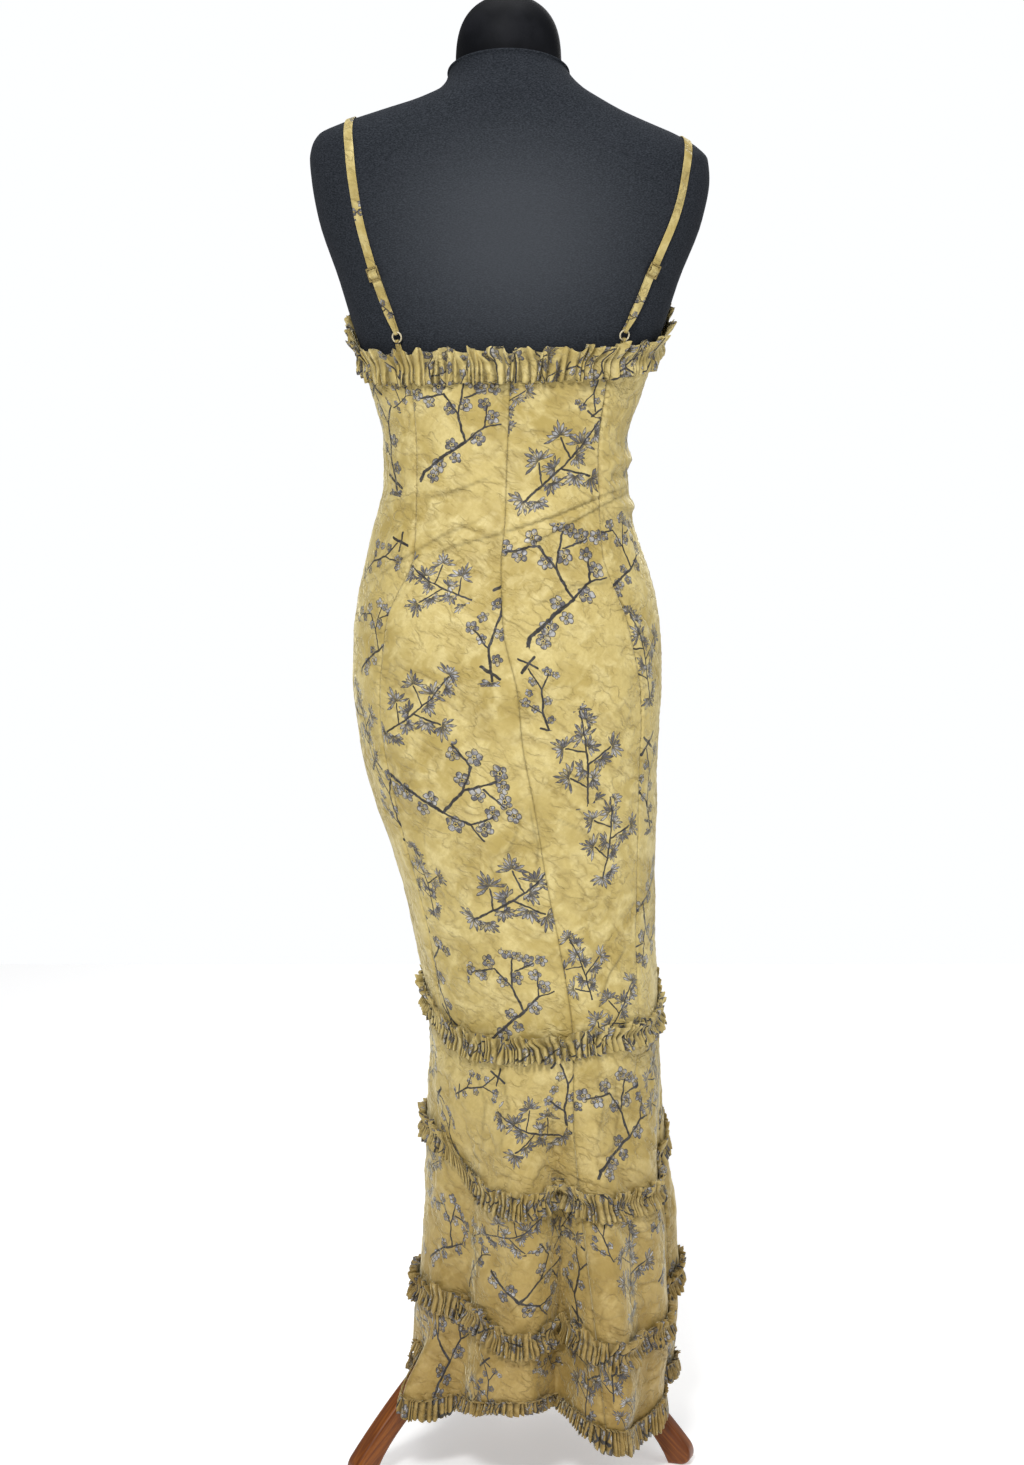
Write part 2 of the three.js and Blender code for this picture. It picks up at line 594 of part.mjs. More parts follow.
function buildStand() {
  const top = FORM.bottom + POLE.socketDepth - CLOTH.seam;
  const bottom = HUB.top + CLOTH.seam;
  const pole = new THREE.CylinderGeometry(POLE.radius, POLE.radius, top - bottom, POLE.sides);
  pole.rotateX(Math.PI / 2);
  pole.translate(0, 0, (top + bottom) / 2);
  add('pole', pole, 'wood');

  const { radius, chamfer } = HUB;
  const outline = [
    [0, HUB.bottom], [radius - chamfer, HUB.bottom], [radius, HUB.bottom + chamfer],
    [radius, HUB.top - chamfer], [radius - chamfer, HUB.top], [0, HUB.top],
  ].map(([r, z]) => new THREE.Vector2(r, z));
  const hub = new THREE.LatheGeometry(outline, HUB.sides);
  hub.rotateX(Math.PI / 2);
  add('hub', hub, 'wood');
  LEGS.forEach(buildLeg);
}

/** One leg: a side outline with a rounded toe and a flat underside, as thick as its board. */
function buildLeg({ name, x, y }) {
  const start = HUB.radius + LEG.gap + LEG.bevel;
  const { toe, top, underside } = LEG_CURVES;
  const shape = new THREE.Shape();
  const curve = ({ pull1, pull2 }, end) => shape.bezierCurveTo(...pull1, ...pull2, ...end);
  shape.moveTo(LEG.footFrom, LEG.bevel);
  shape.lineTo(LEG.footTo, LEG.bevel);
  curve(toe, toe.end);
  curve(top, [start, LEG.innerTop]);
  shape.lineTo(start, LEG.innerBottom);
  curve(underside, [LEG.footFrom, LEG.bevel]);
  const leg = new THREE.ExtrudeGeometry(shape, {
    depth: LEG.width - 2 * LEG.bevel,
    bevelThickness: LEG.bevel,
    bevelSize: LEG.bevel,
    bevelSegments: 2,
    curveSegments: 6,
  });
  leg.translate(0, 0, LEG.bevel - LEG.width / 2);
  leg.rotateX(Math.PI / 2);
  leg.rotateZ(Math.atan2(y, x));
  add(name, leg, 'wood');
}

// ---------------------------------------------------------------- straps

/** Where a route's point meets the form, with the form's outward direction there. */
function seatOn(torso, { view, x, y = 0, z = 0 }) {
  const sources = {
    front: [new THREE.Vector3(x, -500, z), new THREE.Vector3(0, 1, 0)],
    back: [new THREE.Vector3(x, 500, z), new THREE.Vector3(0, -1, 0)],
    top: [new THREE.Vector3(x, y, 2000), new THREE.Vector3(0, 0, -1)],
  };
  const hit = new THREE.Raycaster(...sources[view]).intersectObject(torso)[0];
  return { point: hit.point, out: hit.face.normal.clone() };
}

/** A flat band through stations of point, outward and across directions, and width. */
function bandGeometry(stations) {
  const edge = (side, lift) => stations.map(({ point, out, across, width }) => point.clone()
    .addScaledVector(across, (side * width) / 2)
    .addScaledVector(out, lift));
  const { thickness } = STRAP;
  return wallGeometry([edge(-1, 0), edge(1, 0)], [edge(-1, thickness), edge(1, thickness)], false);
}

/** How far the form stands above a point, anywhere under the band there. */
function highestUnder(torso, middle, { tangent, across, out }, width) {
  let rise = 0;
  for (const side of [-0.5, 0, 0.5]) {
    for (const ahead of [-STRAP.feeler, 0, STRAP.feeler]) {
      const start = middle.clone().addScaledVector(across, side * width);
      start.addScaledVector(tangent, ahead).addScaledVector(out, STRAP.reach);
      const hit = new THREE.Raycaster(start, out.clone().negate()).intersectObject(torso)[0];
      if (hit) rise = Math.max(rise, STRAP.reach - hit.distance);
    }
  }
  return rise;
}

/** A smooth route on the form's skin, read by distance from its start. */
function routeOn(torso, rows) {
  const seats = rows.map((row) => seatOn(torso, row));
  const path = new THREE.CatmullRomCurve3(seats.map((seat) => seat.point), false, 'centripetal');
  const outs = new THREE.CatmullRomCurve3(seats.map((seat) => seat.out), false, 'centripetal');
  const length = path.getLength();
  const at = (distance, lift, width = STRAP.width) => {
    const share = Math.min(1, Math.max(0, distance / length));
    const tangent = path.getTangentAt(share).normalize();
    const rough = outs.getPoint(path.getUtoTmapping(share)).normalize();
    const across = new THREE.Vector3().crossVectors(rough, tangent).normalize();
    const out = new THREE.Vector3().crossVectors(tangent, across).normalize();
    const middle = path.getPointAt(share);
    const rise = highestUnder(torso, middle, { tangent, across, out }, width);
    return { point: middle.addScaledVector(out, rise + lift), out, across, tangent, width };
  };
  return { length, at };
}

/** The directions at a strap's ring: up along the strap, across it and out from the form. */
function ringFrame(torso, side) {
  const { ring, tab } = STRAP_ENDS[side];
  const seat = seatOn(torso, { view: 'back', ...ring });
  const foot = seatOn(torso, { view: 'back', ...tab });
  const up = seat.point.clone().sub(foot.point).normalize();
  const across = new THREE.Vector3().crossVectors(up, seat.out).normalize();
  const out = new THREE.Vector3().crossVectors(across, up).normalize();
  return { middle: seat.point.clone().addScaledVector(out, RING.lift), up, across, out };
}

/** The turn of a band round the ring's wire, from its outer side through the ring. */
function turnStations(frame, side, across) {
  const wire = frame.middle.clone().addScaledVector(frame.up, side * RING.radius);
  return Array.from({ length: STRAP.turnSteps + 1 }, (_, i) => {
    const angle = (Math.PI * i) / STRAP.turnSteps;
    const out = frame.out.clone().multiplyScalar(Math.cos(angle));
    out.addScaledVector(frame.up, -side * Math.sin(angle));
    const point = wire.clone().addScaledVector(out, STRAP.turn);
    return { point, out, across, width: STRAP.loopWidth };
  });
}

/** A station turned over, so that its band grows towards the form. */
const turnedOver = (station) => ({ ...station, out: station.out.clone().negate() });

/** How wide and how high a band is at a distance from its ring. */
function nearRing(distance) {
  const share = smooth(distance / STRAP.taper);
  return { width: mix(STRAP.loopWidth, STRAP.width, share), share };
}

/** The strap: over the shoulder, through its slider, round its ring and back under itself. */
function strapStations(torso, side, frame) {
  const { length, at } = routeOn(torso, STRAP_ROUTES[side]);
  const { slider } = STRAP_ENDS[side];
  let middle = length;
  while (at(middle, 0).point.z < slider) middle -= 0.5;
  const upper = STRAP.returnTop + STRAP.layer;
  const reach = SLIDER.height / 2;
  const over = (distance) => {
    const near = Math.abs(distance - middle);
    const hump = SLIDER.thickness + STRAP.thickness + 2 * SLIDER.gap;
    const weave = hump * smooth((reach - SLIDER.bar - 0.5 - near) / (reach - 2 * SLIDER.bar - 0.8));
    const lifted = mix(STRAP.clearance, upper, smooth((distance - middle + 4 * reach) / (3 * reach)));
    return lifted + weave;
  };
  const distances = [];
  for (let s = 0; s < middle - reach - 4; s += STRAP.longStep) distances.push(s);
  for (let s = -reach - 2; s <= reach + 2; s += STRAP.weaveStep) distances.push(middle + s);
  for (let s = middle + reach + 6; s < length - 3; s += STRAP.endStep) distances.push(s);
  const run = distances.map((s) => {
    const { width, share } = nearRing(length - s);
    return at(s, mix(RING.lift + STRAP.turn, over(s), share), width);
  });
  const back = distances.filter((s) => s > middle + 2).reverse().map((s) => {
    const { width, share } = nearRing(length - s);
    return turnedOver(at(s, mix(RING.lift - STRAP.turn, STRAP.returnTop, share), width));
  });
  const across = run[run.length - 1].across;
  const seat = at(middle, upper + STRAP.thickness + SLIDER.gap);
  return { band: [...run, ...turnStations(frame, 1, across), ...back], seat };
}

/** The short loop from the dress's top edge up round the ring and down again. */
function tabStations(torso, side, frame) {
  const { ring, tab } = STRAP_ENDS[side];
  const rows = [tab, ring].map((row) => ({ view: 'back', ...row }));
  const { length, at } = routeOn(torso, rows);
  const end = length - RING.radius;
  const upper = STRAP.returnTop + STRAP.layer;
  const { tabSteps } = STRAP;
  const distances = Array.from({ length: tabSteps + 1 }, (_, i) => (i * (end - 2)) / tabSteps);
  const level = (s, near, far) => mix(near, far, smooth((end - s) / STRAP.tabRise));
  const wide = (s) => mix(STRAP.loopWidth, STRAP.width, smooth((end - s) / STRAP.taper));
  const run = distances.map((s) => at(s, level(s, RING.lift + STRAP.turn, upper), wide(s)));
  const back = distances.slice().reverse().map((s) => (
    turnedOver(at(s, level(s, RING.lift - STRAP.turn, STRAP.returnTop), wide(s)))
  ));
  return [...run, ...turnStations(frame, -1, run[0].across), ...back];
}

/** The flat slider: an outer frame with one bar across its middle. */
function sliderGeometry({ point, across, tangent, out }) {
  const rectangle = (shape, left, low, right, high) => {
    shape.moveTo(left, low);
    shape.lineTo(right, low);
    shape.lineTo(right, high);
    shape.lineTo(left, high);
    return shape.closePath();
  };
  const [x, y] = [SLIDER.width / 2, SLIDER.height / 2];
  const { bar } = SLIDER;
  const frame = rectangle(new THREE.Shape(), -x, -y, x, y);
  frame.holes.push(rectangle(new THREE.Path(), -x + bar, bar / 2, x - bar, y - bar));
  frame.holes.push(rectangle(new THREE.Path(), -x + bar, bar - y, x - bar, -bar / 2));
  const slider = new THREE.ExtrudeGeometry(frame, { depth: SLIDER.thickness, bevelEnabled: false });
  const basis = new THREE.Matrix4().makeBasis(across, tangent, out.clone().negate());
  slider.applyMatrix4(basis.setPosition(point.clone().addScaledVector(out, SLIDER.thickness)));
  return slider;
}

function buildStrap(torso, side) {
  const frame = ringFrame(torso, side);
  const { band, seat } = strapStations(torso, side, frame);
  add(`strap_${side}`, bandGeometry(band), 'cloth');
  add(`strap_tab_${side}`, bandGeometry(tabStations(torso, side, frame)), 'cloth');
  add(`slider_${side}`, sliderGeometry(seat), 'slider');

  const ring = new THREE.TorusGeometry(RING.radius, RING.wire, RING.sides, RING.segments);
  const basis = new THREE.Matrix4().makeBasis(frame.across, frame.up, frame.out);
  ring.applyMatrix4(basis.setPosition(frame.middle));
  add(`ring_${side}`, ring, 'ring');
}

// ---------------------------------------------------------------- assembly

buildPanels();
buildTiers();
buildRuffles();
const torso = buildTorso();
buildNeck();
buildStand();
torso.updateMatrixWorld();
['left', 'right'].forEach((side) => buildStrap(torso, side));

export default model;
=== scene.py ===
"""Looks of a long ruffled slip dress on its limbless dress form and wooden tripod.

The tables below are in millimetres and degrees, and MM turns a length into metres. Angles
round the body start at the back centre (+Y) and grow towards the wearer's left (+X).
"""

from __future__ import annotations

import json
import logging
import math
import random
from dataclasses import dataclass, field
from enum import Enum
from typing import Callable

import bmesh
import bpy
import numpy as np
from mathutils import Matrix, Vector, noise

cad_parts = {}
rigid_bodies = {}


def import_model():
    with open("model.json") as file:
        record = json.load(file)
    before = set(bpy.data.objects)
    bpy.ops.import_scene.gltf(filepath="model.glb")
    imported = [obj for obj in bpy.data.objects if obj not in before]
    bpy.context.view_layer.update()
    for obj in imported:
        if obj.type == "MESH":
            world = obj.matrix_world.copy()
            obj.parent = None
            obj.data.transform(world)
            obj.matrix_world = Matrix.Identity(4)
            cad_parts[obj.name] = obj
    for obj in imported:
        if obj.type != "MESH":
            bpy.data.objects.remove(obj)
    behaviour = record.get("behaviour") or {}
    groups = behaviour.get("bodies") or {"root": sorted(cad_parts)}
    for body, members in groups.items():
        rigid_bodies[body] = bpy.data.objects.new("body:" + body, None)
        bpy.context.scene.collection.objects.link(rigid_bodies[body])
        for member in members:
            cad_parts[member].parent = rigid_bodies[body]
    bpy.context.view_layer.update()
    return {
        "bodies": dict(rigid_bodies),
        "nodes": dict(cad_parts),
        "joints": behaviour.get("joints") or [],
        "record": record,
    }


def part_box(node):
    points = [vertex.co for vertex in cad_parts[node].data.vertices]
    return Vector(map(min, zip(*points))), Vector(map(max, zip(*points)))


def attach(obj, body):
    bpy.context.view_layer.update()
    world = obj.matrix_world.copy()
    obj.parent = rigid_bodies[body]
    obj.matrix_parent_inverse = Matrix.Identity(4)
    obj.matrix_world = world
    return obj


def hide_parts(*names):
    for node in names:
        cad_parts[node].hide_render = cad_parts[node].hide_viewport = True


LOG = logging.getLogger("dress")
MM = 0.001
BODY = "root"
Values = np.ndarray


# ---------------------------------------------------------------- the body's shape


@dataclass(frozen=True)
class Rows:
    """Named columns of values, read between rows by a curve that never overshoots them."""

    names: tuple[str, ...]
    table: tuple[tuple[float, ...], ...]

    def at(self, name: str, keys: Values) -> Values:
        """Reads one column.

        Args:
            name: The column's name.
            keys: Values of the first column, the key, to read at.

        Returns:
            The column's value at each key.
        """
        knots = np.array([row[0] for row in self.table], float)
        values = np.array([row[self.names.index(name)] for row in self.table], float)
        spans = np.diff(knots)
        slopes = np.diff(values) / spans
        product = slopes[:-1] * slopes[1:]
        total = np.where(product > 0, slopes[:-1] + slopes[1:], 1.0)
        inner = np.where(product > 0, 2 * product / total, 0.0)
        tangents = np.concatenate([slopes[:1], inner, slopes[-1:]])
        index = np.clip(np.searchsorted(knots, keys, side="right") - 1, 0, len(spans) - 1)
        span = spans[index]
        u = np.clip((keys - knots[index]) / span, 0, 1)
        start = values[index] * (1 + 2 * u) * (1 - u) ** 2 + tangents[index] * span * u * (1 - u) ** 2
        end = values[index + 1] * u * u * (3 - 2 * u) + tangents[index + 1] * span * u * u * (u - 1)
        return start + end


def smooth(share: Values) -> Values:
    """Eases a share from 0 to 1."""
    part = np.clip(share, 0, 1)
    return part * part * (3 - 2 * part)


def turned(angle: Values) -> Values:
    """Brings an angle to between -180 and 180 degrees."""
    return (np.asarray(angle) + 180) % 360 - 180


def bell(angle: Values, middle: float, width: float) -> Values:
    """A bell-shaped share, 1 at the middle, round the body."""
    return np.exp(-((turned(angle - middle) / width) ** 2))


@dataclass(frozen=True)
class Flute:
    """A ridge of the flared skirt, or a valley where its depth is below zero."""

    angle: float
    width: float
    depth: float
    starts: float
    full: float


@dataclass(frozen=True)
class Bust:
    """The general figure's bust, at the same angle each side of the front centre."""

    angle: float = 34
    width: float = 19
    height: float = 1186
    above: float = 52
    below: float = 44
    depth: float = 17


SECTIONS = Rows(
    ("z", "left", "right", "back", "front", "square"),
    (
        (40, 104, 169, 150, 148, 2.1), (89, 101, 170, 146, 142, 2.1), (134, 97, 173, 142, 136, 2.1),
        (178, 94, 173, 138, 129, 2.1), (221, 89, 171, 133, 121, 2.1), (265, 85, 167, 129, 114, 2.1),
        (309, 85, 161, 125, 108, 2.1), (352, 86, 158, 121, 102, 2.1), (395, 86, 155, 117, 96, 2.1),
        (439, 84, 152, 113, 91, 2.1), (482, 85.5, 150, 111, 88, 2.15), (524, 93, 149, 109, 88, 2.2),
        (567, 102, 147, 108, 90, 2.2), (610, 112, 147, 109, 93, 2.2), (652, 125, 147.5, 110, 96, 2.2),
        (694, 139, 148.5, 111, 99, 2.2), (736, 151, 148.5, 112, 101, 2.2), (778, 158, 150, 113, 103, 2.2),
        (820, 161.5, 152, 113, 104, 2.2), (862, 161.5, 151.5, 111, 103, 2.2), (903, 157.5, 146, 106, 99, 2.2),
        (944, 148.5, 136, 97, 93, 2.2), (986, 138, 122, 88, 87, 2.2), (1027, 129.5, 116.5, 81.5, 84, 2.2),
        (1068, 130, 116, 80.5, 88, 2.2), (1108, 139.5, 127.5, 84, 98, 2.2), (1150, 151, 143, 88, 107, 2.25),
        (1190, 164, 157, 91, 110, 2.3), (1230, 176, 170, 94, 106, 2.4), (1290, 196, 193, 94, 88, 2.6),
        (1330, 203, 200, 88, 74, 2.7), (1350, 204.5, 198, 83, 67, 2.8), (1362, 202.5, 187, 80, 64, 2.8),
        (1375, 195, 165, 76, 61, 2.7), (1385, 173, 141, 73, 59, 2.5), (1395, 139, 116, 69, 58, 2.3),
        (1405, 101, 95, 65, 58, 2.1), (1415, 76, 76, 60, 58, 2), (1425, 67, 64, 55, 58, 2),
        (1434, 64, 57, 52, 58, 2),
    ),
)
FLUTES = (
    Flute(78, 14, 5, 430, 300), Flute(45, 10, -16, 400, 290), Flute(13, 12, 12, 430, 300),
    Flute(-5, 8, -34, 440, 300), Flute(-22, 11, 50, 430, 60), Flute(-52, 13, 6, 430, 300),
    Flute(-80, 11, -20, 420, 280), Flute(-106, 13, 7, 420, 260), Flute(-136, 11, -18, 440, 280),
    Flute(-163, 12, 8, 440, 300), Flute(172, 10, -15, 430, 270), Flute(146, 13, 9, 450, 300),
    Flute(118, 11, -17, 430, 270), Flute(57, 6, 40, 170, 80),
)
LEVELS = Rows(
    ("angle", "top", "row1", "row2", "row3", "hem"),
    (
        (-180, 1212, 508, 350, 195, 70), (-150, 1228, 512, 352, 197, 67), (-120, 1206, 515, 353, 198, 66),
        (-100, 1182, 494, 330, 182, 66), (-80, 1158, 472, 306, 164, 60), (-60, 1150, 463, 297, 154, 54),
        (-40, 1147, 463, 293, 150, 42), (-20, 1145, 461, 296, 154, 58), (-8, 1144, 457, 303, 167, 78),
        (12, 1143, 454, 298, 157, 83), (32, 1142, 454, 306, 174, 72), (48, 1141, 460, 316, 177, 66),
        (53, 1141, 463, 334, 179, 60), (57, 1142, 468, 344, 181, 66), (62, 1142, 474, 349, 183, 108),
        (74, 1144, 486, 354, 183, 111), (84, 1150, 490, 356, 184, 84), (100, 1172, 497, 355, 186, 68),
        (120, 1200, 503, 352, 190, 66), (145, 1226, 508, 350, 194, 67), (157, 1222, 508, 350, 195, 88),
        (173, 1214, 508, 350, 195, 88), (180, 1212, 508, 350, 195, 70),
    ),
)
BACK_SEAMS = {
    "centre": Rows(("z", "x"), (
        (60, -97), (154, -87), (230, -78), (300, -70), (380, -63), (460, -62), (560, -48), (620, -36),
        (700, -23), (770, -10), (815, -6), (885, 9), (945, 11), (990, 7), (1050, 5), (1150, 1),
    )),
    "left": Rows(("z", "x"), (
        (430, 64), (560, 83), (700, 117), (800, 133), (885, 126), (960, 97), (1050, 95), (1150, 102),
    )),
    "right": Rows(("z", "x"), (
        (430, -132), (560, -126), (700, -128), (800, -130), (885, -116), (960, -90), (1050, -86),
        (1150, -97),
    )),
}
SIDE_ANGLES = {"panel_left": 96.0, "panel_right": -92.0, "tier_left": 90.0, "tier_right": -90.0}
HEM_DEPTH = 24.0
HEM_RISE = 9.0
HEM_SHORTER = 13.0
HEM_CLEAR = 4.0
RAISED_FROM, RAISED_OVER = 50.0, 30.0
RIM = {"height": 1434.0, "slope": 0.36, "tilt_from": 1375.0, "chest": 1290.0, "bottom": 735.0}


class Figure:
    """The surface that the cloth and the form's cover follow, in millimetres."""

    bust = Bust()
    step = 0.6
    farthest = 89.0
    halvings = 40

    @staticmethod
    def level(name: str, angle: Values) -> Values:
        """The height of one of the dress's edges or ruffle rows at an angle."""
        return LEVELS.at(name, turned(angle))

    @staticmethod
    def raised(name: str, angle: Values) -> Values:
        """How far the hem has risen from its low stretches, from 0 to 1."""
        return smooth((LEVELS.at(name, turned(angle)) - RAISED_FROM) / RAISED_OVER)

    def push(self, angle: Values, z: Values) -> Values:
        """How far folds and bust stand out from the plain section."""
        total = np.zeros(np.broadcast(angle, z).shape)
        for flute in FLUTES:
            share = smooth((flute.starts - z) / (flute.starts - flute.full))
            total += flute.depth * share * bell(angle, flute.angle, flute.width)
        rise = z - self.bust.height
        reach = np.where(rise > 0, self.bust.above, self.bust.below)
        sides = bell(angle, 180 - self.bust.angle, self.bust.width)
        sides = sides + bell(angle, self.bust.angle - 180, self.bust.width)
        return total + self.bust.depth * np.exp(-((rise / reach) ** 2)) * sides

    def skin(self, angle: Values, z: Values) -> tuple[Values, Values]:
        """The plan point of the surface.

        Args:
            angle: Angles round the body.
            z: Heights.

        Returns:
            The sideways and the front-to-back positions.
        """
        left, right = SECTIONS.at("left", z), SECTIONS.at("right", z)
        power = 2 / SECTIONS.at("square", z)
        sine, cosine = np.sin(np.radians(angle)), np.cos(np.radians(angle))
        across = (left + right) / 2 * np.sign(sine) * np.abs(sine) ** power
        depth = np.where(cosine > 0, SECTIONS.at("back", z), SECTIONS.at("front", z))
        deep = depth * np.sign(cosine) * np.abs(cosine) ** power
        scale = 1 + self.push(angle, z) / np.hypot(across, deep)
        return (left - right) / 2 + across * scale, deep * scale

    def outside(self, angle: Values, z: Values, distance: Values) -> Values:
        """Points a level distance outside the surface, as rows of x, y and z."""
        x, y = self.skin(angle, z)
        ahead, behind = self.skin(angle + self.step, z), self.skin(angle - self.step, z)
        run_x, run_y = ahead[0] - behind[0], ahead[1] - behind[1]
        length = np.hypot(run_x, run_y)
        return np.stack([x - run_y / length * distance, y + run_x / length * distance, z + 0 * x], axis=-1)

    def angle_at(self, x: Values, z: Values) -> Values:
        """The angle at which the surface's back lies at a sideways position."""
        low, high = np.full(np.shape(z), -self.farthest), np.full(np.shape(z), self.farthest)
        for _ in range(self.halvings):
            middle = (low + high) / 2
            short = self.skin(middle, z)[0] < x
            low, high = np.where(short, middle, low), np.where(short, high, middle)
        return (low + high) / 2

    @staticmethod
    def leaned(points: Values) -> Values:
        """Lifts the upper rows so that the neck's rim leans, higher at the back."""
        share = smooth((points[..., 2] - RIM["tilt_from"]) / (RIM["height"] - RIM["tilt_from"]))
        lifted = points.copy()
        lifted[..., 2] += RIM["slope"] * points[..., 1] * share
        return lifted


# ---------------------------------------------------------------- folds in the cloth


class Fold(Enum):
    """How a crease stands from the cloth."""

    SOFT = "soft"
    SHARP = "sharp"
    LAPPED = "lapped"


@dataclass(frozen=True)
class Crease:
    """A crease along a line seen level from the back, or from the front where front is set."""

    path: tuple[tuple[float, float], ...]
    width: float
    height: float
    fold: Fold = Fold.SOFT
    front: bool = False

    fade = 0.25
    line_shade = 0.36
    line_shift = 0.6
    line_width = 1.3
    line_reach = 4
    lap_width = 1.1
    under_share = 0.5

    def relief(self, points: Values) -> tuple[Values, Values]:
        """How far the crease moves each point out from the cloth, and how dark its painted shade line is.

        Args:
            points: Rows of x, y and z in millimetres.

        Returns:
            A signed distance and a share from 0 to 1 for each point.
        """
        x, z = points[:, 0], points[:, 2]
        nearest = np.full(len(points), 1e9)
        side = np.zeros(len(points))
        along = np.zeros(len(points))
        corners = np.array(self.path, float)
        lengths = np.hypot(*np.diff(corners, axis=0).T)
        total, passed = lengths.sum(), 0.0
        for (start_x, start_z), (end_x, end_z), length in zip(corners[:-1], corners[1:], lengths):
            run_x, run_z = (end_x - start_x) / length, (end_z - start_z) / length
            reach = np.clip((x - start_x) * run_x + (z - start_z) * run_z, 0, length)
            off_x, off_z = x - start_x - reach * run_x, z - start_z - reach * run_z
            distance = np.hypot(off_x, off_z)
            closer = distance < nearest
            nearest = np.where(closer, distance, nearest)
            turn = np.sign(run_x) if abs(run_x) > 0.1 else 1.0
            side = np.where(closer, turn * (run_x * off_z - run_z * off_x), side)
            along = np.where(closer, (passed + reach) / total, along)
            passed += length
        taper = smooth(along / self.fade) * smooth((1 - along) / self.fade)
        seen = points[:, 1] < 0 if self.front else points[:, 1] > 0
        # Sharp and lapped creases get a painted shade line, shifted to the crease's lower side.
        line = self.line_shade * np.exp(-(((side + self.line_shift) / self.line_width) ** 2))
        line = 0.0 if self.fold is Fold.SOFT else line
        inside = (nearest < self.line_reach) * taper * seen
        return self.height * taper * seen * self._profile(nearest, side), line * inside

    def _profile(self, distance: Values, side: Values) -> Values:
        """The crease's section by its distance and signed side distance."""
        if self.fold is Fold.SOFT:
            return np.exp(-((distance / self.width) ** 2))
        if self.fold is Fold.SHARP:
            return np.exp(-distance / self.width)
        upper = np.exp(-distance / self.width) * np.where(side > 0, 1.0, self.under_share)
        return np.tanh(side / self.lap_width) * upper


